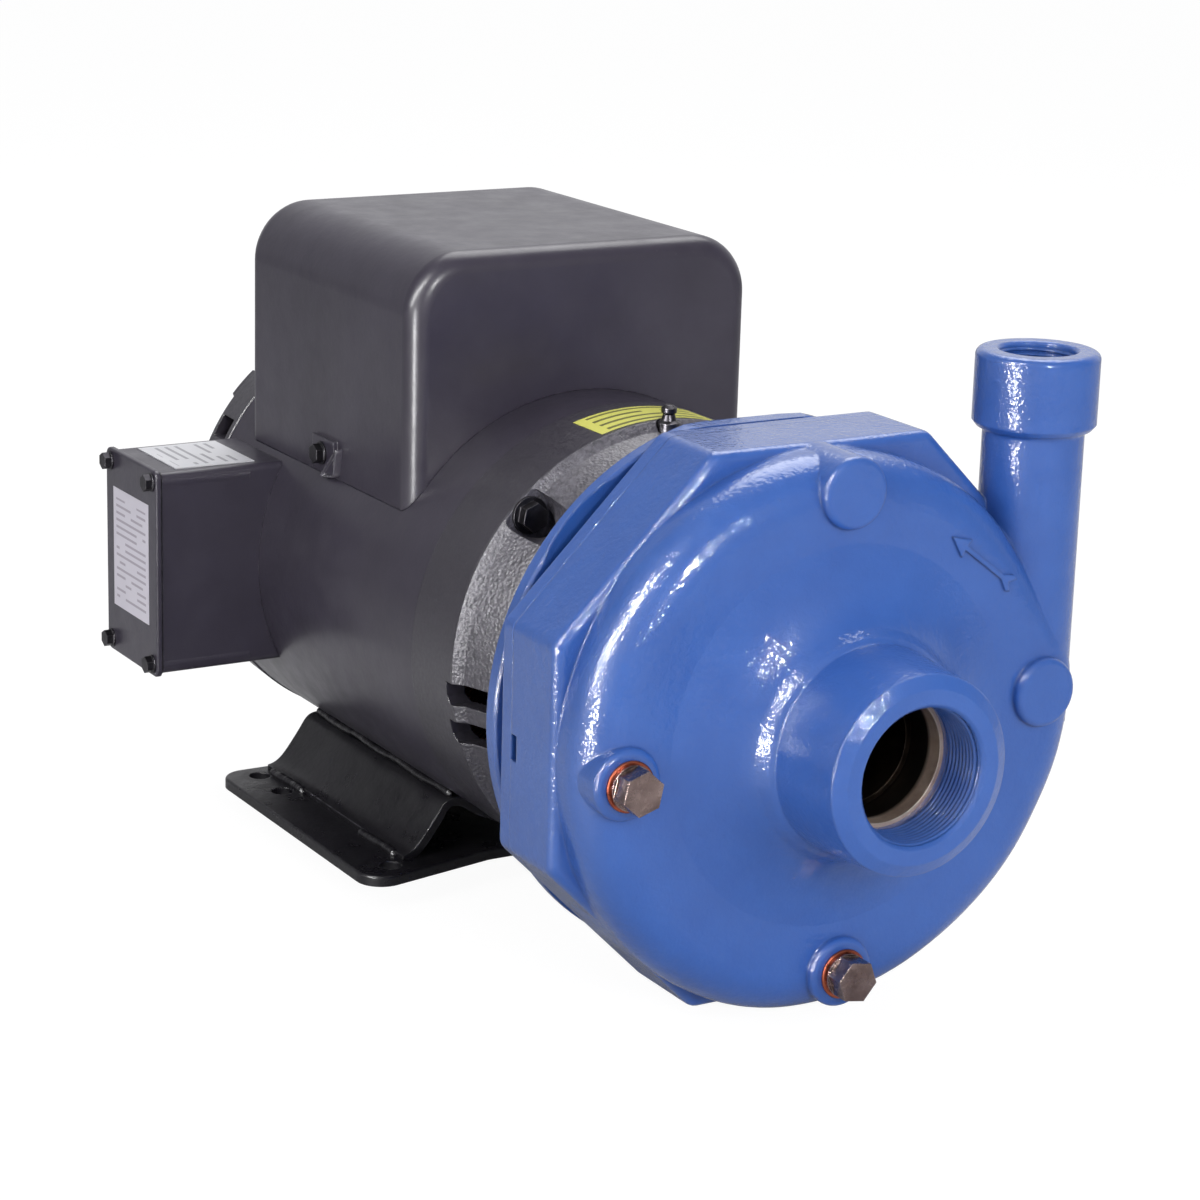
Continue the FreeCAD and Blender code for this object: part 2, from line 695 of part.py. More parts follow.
def adapter():
    joint, plate_rear = dim.casing_rear, dim.adapter_rear
    ring_rear, face = dim.ring_rear, dim.motor_face
    blank = adapter_blank()
    # seal cavity and shaft hole
    bore = revolve("adapter_bore", [
        (joint - 1, 0), (joint - 1, 27.0), (joint + 3.5, 27.0), (joint + 3.5, 24.0),
        (joint + 11.5, 24.0), (joint + 11.5, 17.5), (face + 1, 17.5), (face + 1, 0)])
    groove = revolve("adapter_groove",
                     rect(joint - 1, joint + GASKET_DEPTH, GASKET_INNER, GASKET_OUTER))
    # four windows between the ring flange and the motor flange
    windows = new_body("adapter_windows")
    pad(windows, "win_side", "X", [rect(-194.5, -176.5, -34, 34)], -120, 120)
    pad(windows, "win_vert", "Z", [rect(-34, 34, -194.5, -176.5)], -120, 120)
    ring_flat = part_box("adapter_ring_flat", -60, 60, plate_rear, ring_rear + 1,
                         SHAFT_Z + 115.0, SHAFT_Z + 125.0)
    holes = new_body("adapter_holes")
    pad(holes, "casing_bolt_clear", "Y", circles(CASING_BOLTS, 4.3), ring_rear + 1, joint - 1)
    pad(holes, "casing_bolt_spot", "Y", circles(CASING_BOLTS, 8.2), ring_rear + 1, plate_rear)
    motor_holes = pad_body("adapter_motor_holes", "motor_bolt_clear", "Y",
                           circles(ADAPTER_BOLTS, 5.0), face + 1, -174.0)
    tools = fuse("adapter_tools", [bore, groove, windows, adapter_scallops(), holes, motor_holes,
                                   ring_flat])
    return cut("adapter", blank, tools)


keep(adapter())
keep(revolve("casing_gasket", rect(dim.casing_rear, dim.casing_rear + GASKET_DEPTH,
                                   GASKET_INNER, GASKET_OUTER)))
keep(group("casing_bolts",
           hexbolt("casing_bolt_source", flats=13.0, head=5.6, shank=3.95, length=19.0),
           at_spots(dim.adapter_rear, CASING_BOLTS, Rotation(Z_AXIS, 180))))
keep(group("adapter_bolts",
           hexbolt("adapter_bolt_source", flats=14.3, head=6.0, shank=4.7, length=26.0),
           at_spots(-173.0, ADAPTER_BOLTS)))

# ---------------------------------------------------------------- impeller
EYE_FRONT = -292.0
VANE_COUNT = 6
VANE_HALF = 1.6  # half thickness, measured radially
NOSE_Y, WASHER_Y = -272.0, -275.2  # impeller hub nose, front of its washer


def impeller_vanes():
    """Curved vanes that sweep back 118 degrees from the eye to the rim."""
    outer, inner = [], []
    for i in range(11):
        travel = i / 10.0
        radius = 26.0 + 56.0 * travel
        angle = math.radians(-118.0 * travel ** 0.85)
        for points, edge_rad in ((outer, radius + VANE_HALF), (inner, radius - VANE_HALF)):
            points.append(Vector(edge_rad * math.cos(angle), 0, edge_rad * math.sin(angle)))
    face = face_between(*[(spline(points).toShape(), points[0], points[-1])
                          for points in (outer, inner)])
    blade = face.extrude(Vector(0, 32, 0))
    blade.translate(Vector(0, -276.0, 0))
    blades = []
    for i in range(VANE_COUNT):
        turned = blade.copy()
        turned.rotate(Vector(0, 0, 0), Y_AXIS, 360.0 / VANE_COUNT * i)
        blades.append(turned)
    return shaft_shape("impeller_vanes", Part.makeCompound(blades))


def impeller():
    rim = dim.impeller_rad
    envelope = revolve("impeller_envelope", [
        (NOSE_Y, 11.15), (NOSE_Y, 14.5), (-288.0, 20.0), (EYE_FRONT, 23.8), (EYE_FRONT, 26.3),
        (-273.5, 26.3), (-269.6, 31.0), (-261.5, rim), (-246.0, rim), (-244.5, 24.0),
        (-241.0, 19.0), (-239.0, 19.0), (-239.0, 11.15)])
    # the space between the shrouds, less the vanes
    passage = revolve("impeller_passage", [
        (EYE_FRONT - 1, 0), (EYE_FRONT - 1, 23.8), (NOSE_Y, 23.8), (-265.5, 31.5),
        (-258.0, rim + 1), (-249.5, rim + 1), (-250.5, 40.0), (-256.0, 25.0), (-268.0, 17.5),
        (NOSE_Y, 16.5), (NOSE_Y, 0)])
    channels = cut("impeller_channels", passage, impeller_vanes())
    keyway = part_box("impeller_keyway", -2.42, 2.42, -275.0, -238.0, SHAFT_Z + 8.0,
                      SHAFT_Z + 13.6)
    return cut("impeller", envelope, fuse("impeller_tools", [channels, keyway]))


keep(impeller())
keep(part_box("impeller_key", -2.38, 2.38, -268.5, -240.0, SHAFT_Z + 8.75, SHAFT_Z + 13.5))
keep(revolve("impeller_washer", [(WASHER_Y, 5.2), (WASHER_Y, 14.0), (-274.8, 14.4),
                                 (NOSE_Y, 14.4), (NOSE_Y, 5.2)]))
keep(group("impeller_bolt",
           hexbolt("impeller_bolt_source", flats=14.3, head=6.4, shank=4.7, length=24.0),
           at_spots(WASHER_Y, [(0, 0)], Rotation(Y_AXIS, 14))))

# ---------------------------------------------------------------- sleeve, seal and slinger
SEAL_Y = dim.casing_rear
ON_SHAFT = dim.shaft_rad + 0.04  # bore of the parts fitted on the pump end
keep(revolve("shaft_sleeve", rect(-239.0, -187.0, ON_SHAFT, dim.sleeve_rad)))
keep(revolve("seal_seat_cup", [
    (SEAL_Y + 3.5, 22.2), (SEAL_Y + 3.5, 24.0), (SEAL_Y + 11.5, 24.0), (SEAL_Y + 11.5, 19.0),
    (SEAL_Y + 10, 19.0), (SEAL_Y + 10, 22.2)]))
keep(revolve("seal_seat", [
    (SEAL_Y + 1.5, 16.0), (SEAL_Y + 1.5, 20.4), (SEAL_Y + 3.5, 20.4), (SEAL_Y + 3.5, 22.2),
    (SEAL_Y + 10, 22.2), (SEAL_Y + 10, 16.0)]))
keep(revolve("seal_rotary_head", [
    (SEAL_Y + 1.4, 15.4), (SEAL_Y + 1.4, 19.2), (SEAL_Y - 0.4, 19.2), (SEAL_Y - 0.4, 23.6),
    (SEAL_Y - 5.6, 23.6), (SEAL_Y - 5.6, 15.02), (SEAL_Y, 15.02), (SEAL_Y, 15.4)]))


def seal_spring():
    """Three-turn coil of octagonal wire section."""
    coil_rad, wire_rad, pitch, length = 20.4, 0.85, 3.1, 9.3
    path = Part.Wire(Part.makeHelix(pitch, length, coil_rad).Edges)
    section = ring_spots(wire_rad, [45 * i + 22.5 for i in list(range(8)) + [0]])
    outline = Part.makePolygon([Vector(coil_rad + x, 0, z) for x, z in section])
    spring = path.makePipeShell([Part.Wire(outline.Edges)], True, True)
    spring.rotate(Vector(0, 0, 0), X_AXIS, -90)
    spring.translate(Vector(0, -237.8, SHAFT_Z.value))
    # the sweep may come inside out, or as a shell
    if spring.Volume < 0:
        spring.reverse()
    solid = spring.Solids[0] if spring.Solids else Part.Solid(Part.Shell(spring.Faces))
    return shape_of("seal_spring", solid)


keep(seal_spring())
keep(revolve("water_slinger", [
    (-186.8, ON_SHAFT), (-186.8, 15.0), (-184.0, 16.0), (-182.0, 26.0), (-180.0, 26.0),
    (-180.5, 16.0), (-178.0, 15.0), (-178.0, ON_SHAFT)]))


# ---------------------------------------------------------------- shaft, rotor, fan, switch
def motor_shaft():
    end, radius = dim.shaft_end, dim.shaft_rad
    turned = revolve("motor_shaft_turned", [
        (end, 0), (end, radius - 1), (end + 1, radius), (-157.0, radius), (-157.0, 14.99),
        (-136.0, 14.99), (-136.0, 18.5), (-100.0, 18.5), (-100.0, 19.0), (74.0, 19.0),
        (74.0, 15.0), (104.0, 15.0), (104.0, 12.0), (122.0, 12.0), (122.0, 8.49), (138.0, 8.49),
        (139.0, 7.5), (139.0, 0)])
    tapped = part_cylinder("shaft_tapped_hole", 4.72, 30.0, 0, end - 1, SHAFT_Z, "Y")
    keyway = part_box("shaft_keyway", -2.4, 2.4, -268.6, -239.9, SHAFT_Z + 8.7, SHAFT_Z + 13.0)
    return cut("motor_shaft", turned, fuse("shaft_tools", [tapped, keyway]))


def rotor_core():
    half, radius = dim.stack_half, dim.stator_bore - dim.air_gap
    return revolve("rotor_core", [
        (-half, 19.0), (-half, 40.0), (-72.0, 42.0), (-72.0, 55.0), (-half, 56.0),
        (-half, radius), (half, radius), (half, 56.0), (72.0, 55.0), (72.0, 42.0),
        (half, 40.0), (half, 19.0)])


def cooling_fan():
    """Ten-bladed fan on the drive end of the shaft."""
    fan = revolve("cooling_fan", [
        (-126.0, 18.52), (-126.0, 24.0), (-112.0, 26.0), (-110.0, 62.0), (-107.5, 62.0),
        (-106.0, 24.0), (-104.0, 24.0), (-104.0, 18.52)])
    blade = pad(fan, "fan_blade", "Y", [rect(30.0, 76.0, -1.2, 1.2)], -108.5, -124.0)
    polar(fan, "fan_blades", blade, 10)
    return fan


def start_switch_plate():
    plate = revolve("start_switch_plate", rect(105.0, 107.0, 26.0, 60.0))
    pad(plate, "switch_contacts", "Y", [rect(-10, 10, 34, 52)], 106.0, 98.0)
    return plate


keep(motor_shaft())
keep(rotor_core())
keep(cooling_fan())
keep(revolve("start_switch", [
    (86.0, 15.02), (86.0, 22.0), (88.0, 34.0), (90.0, 34.0), (91.0, 24.0), (99.0, 24.0),
    (100.0, 30.0), (101.5, 30.0), (102.5, 20.0), (102.5, 15.02)]))
keep(start_switch_plate())


# ---------------------------------------------------------------- bearings
def bearing(prefix, front, width, bore, outside, balls, ball_rad):
    """Deep-groove ball bearing: two races with arc tracks, and a ring of balls."""
    middle = front + width / 2.0
    pitch = (bore + outside) / 2.0
    shoulder = ball_rad * 0.62  # race shoulders, either side of the pitch radius
    track = ball_rad * 1.015
    reach = math.acos(shoulder / track)
    angles = [-reach + 2 * reach * i / 8.0 for i in range(9)]
    track_in = [(middle + track * math.sin(a), pitch - track * math.cos(a)) for a in angles]
    track_out = [(middle - track * math.sin(a), pitch + track * math.cos(a)) for a in angles]
    rear = front + width
    keep(revolve(prefix + "_inner_race", [(front, bore), (front, pitch - shoulder)] + track_in
                 + [(rear, pitch - shoulder), (rear, bore)]))
    spheres = [Part.makeSphere(ball_rad, Vector(x, middle.value, z + SHAFT_Z.value))
               for x, z in ring_spots(pitch, [360.0 * i / balls for i in range(balls)])]
    keep(shape_of(prefix + "_balls", Part.makeCompound(spheres)))
    keep(revolve(prefix + "_outer_race", [(front, outside), (rear, outside),
                                          (rear, pitch + shoulder)] + track_out
                 + [(front, pitch + shoulder)]))


bearing("front_bearing", dim.front_bearing_pos, width=16.0, bore=15.0, outside=31.0, balls=9,
        ball_rad=4.76)
bearing("rear_bearing", dim.rear_bearing_pos, width=12.0, bore=8.5, outside=20.0, balls=8,
        ball_rad=3.37)
keep(revolve("wave_washer", rect(134.2, 135.0, 15.5, 19.6)))


# ---------------------------------------------------------------- stator
def stator_core():
    half = dim.stack_half
    core = pad_body("stator_core", "stack", "Y",
                    [("circle", 0, 0, SHELL_BORE), ("circle", 0, 0, dim.stator_bore)], half, -half)
    slot_loop = [(-3.2, 57.0), (3.2, 57.0), (4.6, 80.0), (-4.6, 80.0)]
    slot = pad(core, "slot", "Y", [slot_loop], half + 1, -half - 1, pocket=True)
    polar(core, "slots", slot, 24)
    # clearance for the through bolts
    low, high = THROUGH_RAD - 4, THROUGH_RAD + 9
    notch_loop = [at_polar(low, 43.0), at_polar(high, 42.2), at_polar(high, 47.8),
                  at_polar(low, 47.0)]
    notch = pad(core, "bolt_notch", "Y", [notch_loop], half + 1, -half - 1, pocket=True)
    polar(core, "bolt_notches", notch, 4)
    return core


def stator_windings():
    """End windings, rounded on the side away from the core."""
    windings = []
    for label, front, rear, outer_end in (("winding_1", -90.0, -60.0, -90.0),
                                          ("winding_2", 60.0, 86.0, 86.0)):
        winding = revolve(label, [(front, 66.0), (front, 84.0), (rear, 86.0), (rear, 63.0)])
        round_edges(winding, label + "_round", 7.0, lambda e: in_plane(e, "Y", outer_end))
        windings.append(winding)
    doc.recompute()
    return shape_of("stator_windings", Part.makeCompound([w.Shape.copy() for w in windings]))


keep(stator_core())
keep(stator_windings())


# ---------------------------------------------------------------- motor shell and shields
def motor_shell():
    tube = revolve("shell_tube", rect(dim.shell_front, dim.shell_rear, SHELL_BORE, dim.shell_rad))
    lead_hole = part_cylinder("shell_lead_hole", 9.0, 30.0, -115.0, LEAD_HOLE_Y, SHAFT_Z, "X")
    cap_hole = part_cylinder("shell_cap_hole", 7.0, 30.0, 0, -40.0, SHAFT_Z + 85.0, "Z")
    return cut("motor_shell", tube, fuse("shell_tools", [lead_hole, cap_hole]))


def shield_bosses(side, pad_name, radius, pad_rear, pad_front, limit_rad, limit_y, limit_length):
    """Through bolt bosses, trimmed to a cylinder about the shaft."""
    pads = pad_body(side + "_shield_pads", pad_name, "Y",
                    circles(ring_spots(THROUGH_RAD - 2, DIAGONALS), radius), pad_rear, pad_front)
    limit = part_cylinder(side + "_shield_limit", limit_rad, limit_length, 0, limit_y, SHAFT_Z,
                          "Y")
    return common(side + "_shield_bosses", pads, limit)


def side_vents(side, body_name, pad_name, loops, core_y, core_name, cut_name):
    """Slots through the +X and -X sides of a shield that stop at a core round the shaft."""
    slots = pad_body(side + body_name, pad_name, "X", loops, -110, 110)
    core = part_cylinder(side + core_name, 60.0, 60.0, 0, core_y, SHAFT_Z, "Y")
    return cut(side + cut_name, slots, core)


def front_shield_blank():
    seam, band, face = dim.shell_front, dim.shield_rad, dim.motor_face
    turned = revolve("front_shield_turned", [
        (seam, band - 0.6), (seam - 0.6, band), (-138.0, band), (-140.0, band - 2.2),
        (-141.5, band - 4.0), (face + 3, 92.5), (face, 89.5), (face, 57.15),
        (face - 3.5, 57.15), (face - 3.5, 20.0), (-155.0, 20.0), (-155.0, 26.0),
        (dim.front_bearing_pos, 26.0), (dim.front_bearing_pos, 31.0), (-134.0, 31.0),
        (-134.0, 37.5), (-150.0, 39.0), (-154.0, 42.0), (-154.0, 84.0), (-130.0, 94.0),
        (-104.0, 96.0), (-94.0, 96.0), (-94.0, SHELL_BORE), (seam, SHELL_BORE)])
    bosses = shield_bosses("front", "shield_bolt_pad", 12.5, -101.0, -139.0, band, -170.0, 80.0)
    return fuse("front_shield_blank", [turned, bosses])


def front_endshield():
    blank = front_shield_blank()
    # pockets for the through bolt heads, open to the outside at the diagonals
    pockets = new_body("front_shield_pockets")
    pad(pockets, "bolt_pocket", "Y", circles(ring_spots(THROUGH_RAD + 2, DIAGONALS), 10.5),
        -139.0, -170.0)
    pad(pockets, "bolt_clear", "Y", circles(THROUGH_BOLTS, 3.4), -90.0, -140.0)
    taps = pad_body("front_shield_taps", "motor_tap", "Y", circles(ADAPTER_BOLTS, 4.72), -145.0,
                    dim.motor_face - 1)
    slots = [[(-158.0, low), (-135.5, low), (-132.5, low + 3.0), (-132.5, high), (-158.0, high)]
             for low, high in ((-13.8, -4.1), (-31.0, -21.3))]
    vents = side_vents("front_shield", "_vents", "vent_slots", slots, -170.0, "_vent_core",
                       "_vents_cut")
    low_vents = pad_body("front_shield_low_vents", "low_vents", "Z",
                         [rect(left, right, -158.0, -135.0)
                          for left, right in ((-27.0, -15.0), (-6.0, 6.0), (15.0, 27.0))],
                         -110, -60)
    fitting_hole = part_cylinder("front_shield_fitting_hole", 3.0, 20.0, 0, FITTING_Y,
                                 SHAFT_Z + 86.0, "Z")
    fitting_seat = part_cylinder("front_shield_fitting_seat", 5.4, 12.0, 0, FITTING_Y,
                                 SHAFT_Z + 97.0, "Z")
    tools = fuse("front_shield_tools", [pockets, taps, vents, low_vents, fitting_hole,
                                        fitting_seat])
    return cut("front_endshield", blank, tools)


def rear_shield_blank():
    seam, band, rear = dim.shell_rear, dim.shield_rad, dim.motor_rear
    turned = revolve("rear_shield_turned", [
        (seam, band - 0.6), (seam + 0.6, band), (rear - 12.0, band - 1.0),
        (rear - 4.0, band - 5.0), (rear, band - 13.0), (rear, 0), (141.5, 0), (141.5, 16.0),
        (135.0, 16.0), (135.0, 20.0), (121.0, 20.0), (121.0, 26.0), (136.0, 28.0),
        (144.0, 40.0), (144.0, 86.0), (138.0, 95.0), (112.0, 95.0), (112.0, SHELL_BORE),
        (seam, SHELL_BORE)])
    bosses = shield_bosses("rear", "rear_bolt_pad", 9.0, rear - 2, seam + 1, band - 4.5, 110.0,
                           60.0)
    studs = pad_body("rear_shield_studs", "switch_stud", "Y",
                     circles(ring_spots(54.0, (15, 135, 255)), 4.0), 146.0, 107.0)
    return fuse("rear_shield_blank", [turned, bosses, studs])


def rear_vent_ring():
    """Twelve vents through the rear face."""
    loop = [at_polar(48.0, -99.0), at_polar(78.0, -96.0), at_polar(78.0, -84.0),
            at_polar(48.0, -81.0)]
    source = pad_body("rear_shield_vents", "rear_vent", "Y", [loop], dim.motor_rear + 1, 140.0)
    doc.recompute()
    vents = []
    for i in range(12):
        vent = source.Shape.copy()
        vent.rotate(TO_SHAFT, Y_AXIS, 30.0 * i)
        vents.append(vent)
    return shape_of("rear_shield_vent_ring", Part.makeCompound(vents))


def rear_endshield():
    blank = rear_shield_blank()
    taps = pad_body("rear_shield_taps", "rear_tap", "Y", circles(THROUGH_BOLTS, 3.02), 139.0,
                    dim.shell_rear - 8)
    slots = [rect(122.0, 136.0, low, low + 10.0)
             for low in (-56.0, -40.0, -24.0, 14.0, 30.0, 46.0)]
    side = side_vents("rear_shield", "_side_vents", "rear_side_slots", slots, 100.0, "_core",
                      "_side_cut")
    return cut("rear_endshield", blank,
               fuse("rear_shield_tools", [taps, rear_vent_ring(), side]))


def through_bolts():
    bolt = new_body("through_bolt_source", z=0)
    revolve("through_bolt_shank", [(0, 0), (0, 3.0), (275.0, 3.0), (276.0, 2.2), (276.0, 0)],
            body=bolt)
    pad(bolt, "through_bolt_flange", "Y", [("circle", 0, 0, 8.2)], 0, -1.6)
    pad(bolt, "through_bolt_head", "Y", [hexagon(11.1)], -1.5, -6.5)
    return group("through_bolts", bolt, at_spots(-139.0, THROUGH_BOLTS, Rotation(Y_AXIS, 10)))


def grease_fitting():
    seat = dim.shield_rad - 4.95
    return revolve("grease_fitting", [
        (0, 90.5), (2.98, 90.5), (2.98, seat), (4.8, seat), (4.8, seat + 4.4),
        (3.4, seat + 5.4), (2.6, seat + 8.0), (3.4, seat + 9.0), (3.4, seat + 10.8),
        (1.6, seat + 12.2), (0, seat + 12.2)], upright=True, y=FITTING_Y)


keep(motor_shell())
keep(front_endshield())
keep(rear_endshield())
keep(through_bolts())
keep(grease_fitting())

# ---------------------------------------------------------------- capacitor cover
TAB_THICK = 2.0
SCREW_Y, SCREW_Z = 16.5, 62.5


def cover_solid(prefix, inset):
    """Block with rounded upper corners and ends, drawn in by the inset."""
    half, top = dim.cap_half_width - inset, dim.cap_top - inset
    rear, front = dim.cap_rear - inset, dim.cap_front + inset
    body = pad_body(prefix, prefix + "_pad", "Y", [rect(-half, half, 40, top)], rear, front)
    round_edges(body, prefix + "_corners", dim.cap_corner - inset,
                lambda e: e.BoundBox.YLength > 100 and e.BoundBox.ZMin > 100)
    round_edges(body, prefix + "_ends", dim.cap_edge - inset,
                lambda e: (in_plane(e, "Y", rear) or in_plane(e, "Y", front))
                and e.BoundBox.ZMax > 60)
    return body


def cover_tabs():
    """Fixing tabs low on both sides."""
    tabs = []
    for side in (-1, 1):
        tab = Part.makeBox(TAB_THICK, 22.0, 16.0, Vector(-TAB_THICK / 2, 4.0, 0))
        centre = side * (dim.cap_half_width.value + TAB_THICK / 2)
        tab.translate(Vector(centre, 0, 54.0))
        tabs.append(tab)
    return shaft_shape("cover_tabs", Part.makeCompound(tabs).cut(DRUM))


def capacitor_cover():
    shell = cut("cover_shell", cover_solid("cover_outer", 0.0),
                cover_solid("cover_inner", dim.cap_wall))
    trimmed = cut("cover_trim", shell, part_drum("cover_drum"))
    joined = fuse("cover_join", [trimmed, cover_tabs()])
    holes = fuse("cover_screw_holes", [
        part_cylinder("cover_hole_" + side, 2.6, 12.0, x, SCREW_Y, SHAFT_Z + SCREW_Z, "X")
        for side, x in (("left", -93.0), ("right", 81.0))])
    return cut("capacitor_cover", joined, holes)


def capacitor_cover_screws():
    screw = hexbolt("cover_screw_source", flats=8.0, head=3.6, shank=2.5, length=3.8,
                    washer=0.9, washer_rad=5.4)
    reach = dim.cap_half_width.value + TAB_THICK
    places = []
    for side in (-1, 1):
        places += at_spots(SCREW_Y, [(side * reach, SCREW_Z)], Rotation(Z_AXIS, side * 90))
    return group("capacitor_cover_screws", screw, places)


keep(capacitor_cover())
keep(capacitor_cover_screws())

# ---------------------------------------------------------------- capacitors
# label, axis x, axis z above the shaft, radius, front, rear of the can
CAPACITORS = [("start_capacitor", -32.0, 129.0, 23.0, -50.0, 38.0),
              ("run_capacitor", 30.0, 130.0, 24.0, -56.0, 52.0)]


def capacitor(label, x, z, radius, front, rear):
    return revolve(label, [
        (front, 0), (front, radius - 2), (front + 2, radius), (rear, radius),
        (rear, radius - 3), (rear + 2, radius - 3), (rear + 2, 6.0), (rear + 8, 6.0),
        (rear + 8, 0)], x=x, z=SHAFT_Z + z)


def capacitor_clamps():
    """A ring round each can on a block that stands on the shell."""
    width, front = 14, -10
    solids = []
    for _, x, z, radius, _, _ in CAPACITORS:
        ring = Part.makeCylinder(radius + 1.6, width, Vector(x, front, z), Y_AXIS)
        block = Part.makeBox(24, width, 30, Vector(x - 12, front, z - 34))
        can = Part.makeCylinder(radius, width + 2, Vector(x, front - 1, z), Y_AXIS)
        solids += ring.fuse(block).cut(can).cut(DRUM).Solids
    return shaft_shape("capacitor_clamps", Part.makeCompound(solids))


for entry in CAPACITORS:
    keep(capacitor(*entry))
keep(capacitor_clamps())

# ---------------------------------------------------------------- conduit box
BOX_OPEN = dim.box_outer
BOX_MID_Y = (dim.box_front + dim.box_rear) / 2
LID_INNER = BOX_OPEN - 1.0  # the gasket is 1 mm thick
LID_OUTER = LID_INNER - dim.lid_thick
# (y, z) of the four screw posts
POSTS = [(BOX_MID_Y + along, z) for z in (dim.box_high - 4.6, dim.box_low + 4.6)
         for along in (24.6, -24.6)]


def box_loop(inset):
    return rect(dim.box_front + inset, dim.box_rear - inset, dim.box_low + inset,
                dim.box_high - inset)


def conduit_box():
    outer = pad_body("conduit_outer", "conduit_pad", "X", [box_loop(0)], BOX_OPEN, -80.0)
    round_edges(outer, "conduit_corners", 3.0, lambda e: e.BoundBox.XLength > 40)
    inner = pad_body("conduit_inner", "conduit_hollow", "X", [box_loop(dim.box_wall)],
                     BOX_OPEN - 1, -103.0)
    shell = cut("conduit_shell", outer, inner)
    posts = pad_body("conduit_posts", "conduit_post", "X", circles(POSTS, 4.4), BOX_OPEN, -106.0)
    joined = fuse("conduit_join", [shell, posts])
    taps = pad_body("conduit_taps", "conduit_tap", "X", circles(POSTS, 2.0), BOX_OPEN - 1, -130.0)
    lead = part_cylinder("conduit_lead_hole", 8.6, 40.0, -120.0, LEAD_HOLE_Y, SHAFT_Z, "X")
    knockout = part_cylinder("conduit_knockout", 11.1, 8.0, -124.0, LEAD_HOLE_Y,
                             SHAFT_Z + dim.box_low - 3, "Z")
    tools = fuse("conduit_tools", [taps, part_drum("conduit_drum"), lead, knockout])
    return cut("conduit_box", joined, tools)


def conduit_cover_gasket():
    gasket = pad_body("conduit_cover_gasket", "gasket_sheet", "X", [box_loop(0.5), box_loop(9)],
                      LID_INNER, BOX_OPEN)
    pad(gasket, "gasket_holes", "X", circles(POSTS, 2.3), BOX_OPEN - 2.0, BOX_OPEN + 1,
        pocket=True)
    return gasket


def conduit_box_cover():
    lid = pad_body("conduit_box_cover", "lid_plate", "X", [box_loop(-1.4)], LID_OUTER, LID_INNER)
    round_edges(lid, "lid_corners", 4.0, lambda e: e.BoundBox.XLength > 2)
    round_edges(lid, "lid_edge", 1.0, lambda e: in_plane(e, "X", LID_OUTER))
    pad(lid, "lid_holes", "X", circles(POSTS, 2.3), LID_OUTER - 1, BOX_OPEN, pocket=True)
    return lid


def conduit_cover_screws():
    screw = hexbolt("conduit_screw_source", flats=7.0, head=3.4, shank=1.95, length=13.0,
                    washer=0.8, washer_rad=4.4)
    places = []
    for y, z in POSTS:
        places += at_spots(y, [(LID_OUTER, z)], Rotation(Z_AXIS, -90))
    return group("conduit_cover_screws", screw, places)


def terminal_board():
    board = pad_body("terminal_board", "board", "X", [rect(72.0, 106.0, -30, -12.0)], -124.0,
                     -121.0)
    pad(board, "board_feet", "X", [rect(74.0, 80.0, -28, -14), rect(98.0, 104.0, -28, -14)],
        -122.0, -103.0)
    pad(board, "studs", "X", circles([(77.0 + 8 * i, -21.0) for i in range(4)], 2.0),
        -131.0, -123.0)
    return board


keep(conduit_box())
keep(conduit_cover_gasket())
keep(conduit_box_cover())
keep(conduit_cover_screws())
keep(terminal_board())


# ---------------------------------------------------------------- labels, all blank
def shield_label():
    """Curved strip on top of the front shield band, cut away round the grease fitting."""
    front, width, sheet_thick = -135.6, 25.0, 0.15
    outer, inner = [Part.makeCylinder(dim.shield_rad.value + extra, width, Vector(0, front, 0),
                                      Y_AXIS) for extra in (sheet_thick, 0)]
    (right_x, right_z), (left_x, left_z) = ring_spots(300, (74, 107))
    apex = Vector(0, 0, 0)
    outline = Part.makePolygon([apex, Vector(right_x, 0, right_z), Vector(left_x, 0, left_z),
                                apex])
    wedge = Part.Face(outline).extrude(Vector(0, 300, 0))
    wedge.translate(Vector(0, -150, 0))
    clearance = Part.makeCylinder(6.0, 40, Vector(0, FITTING_Y, 90), Z_AXIS)
    return shaft_shape("shield_label", outer.cut(inner).common(wedge).cut(clearance))


keep(pad_body("cover_label", "cover_label_sheet", "X",
              [rect(BOX_MID_Y - 21.0, BOX_MID_Y + 21.0, -25, 33)], LID_OUTER - 0.15, LID_OUTER))
keep(pad_body("nameplate", "nameplate_sheet", "Z",
              [rect(-141.0, -101.0, dim.box_front + 6, dim.box_rear - 6)],
              dim.box_high, dim.box_high + 0.5))
keep(shield_label())


# ---------------------------------------------------------------- base plate and saddle
def motor_base():
    half, front, rear, thick = dim.base_half_width, dim.base_front, dim.base_rear, dim.base_thick
    base = new_body("motor_base", z=0)
    outline = [(-half, front), (-45, front + 14), (45, front + 14), (half, front), (half, rear),
               (-half, rear)]
    pad(base, "base_plate", "Z", [outline], 0, thick)
    round_edges(base, "base_corners", 12.0, lambda e: e.BoundBox.ZLength > 4)
    round_edges(base, "base_edge", 1.2, lambda e: in_plane(e, "Z", thick))
    spots = [(x, y) for x in (dim.hole_half_x, -dim.hole_half_x)
             for y in (-dim.hole_half_y, dim.hole_mid_y, dim.hole_half_y)]
    pad(base, "foot_holes", "Z", circles(spots, dim.hole_rad), -1, thick + 1, pocket=True)
    return base


# middle line of the saddle sheet on the -X side, from the base plate up: x, z from the shaft
SADDLE_SIDE = [(-87.0, -109.3), (-83.0, -108.4), (-79.0, -105.6), (-75.0, -101.2),
               (-71.5, -96.4), (-68.0, -91.4), (-64.5, -87.0), (-61.0, -84.6)]
SADDLE_ARC_ANGLES = (-124.0, -115.0, -105.0, -95.0)


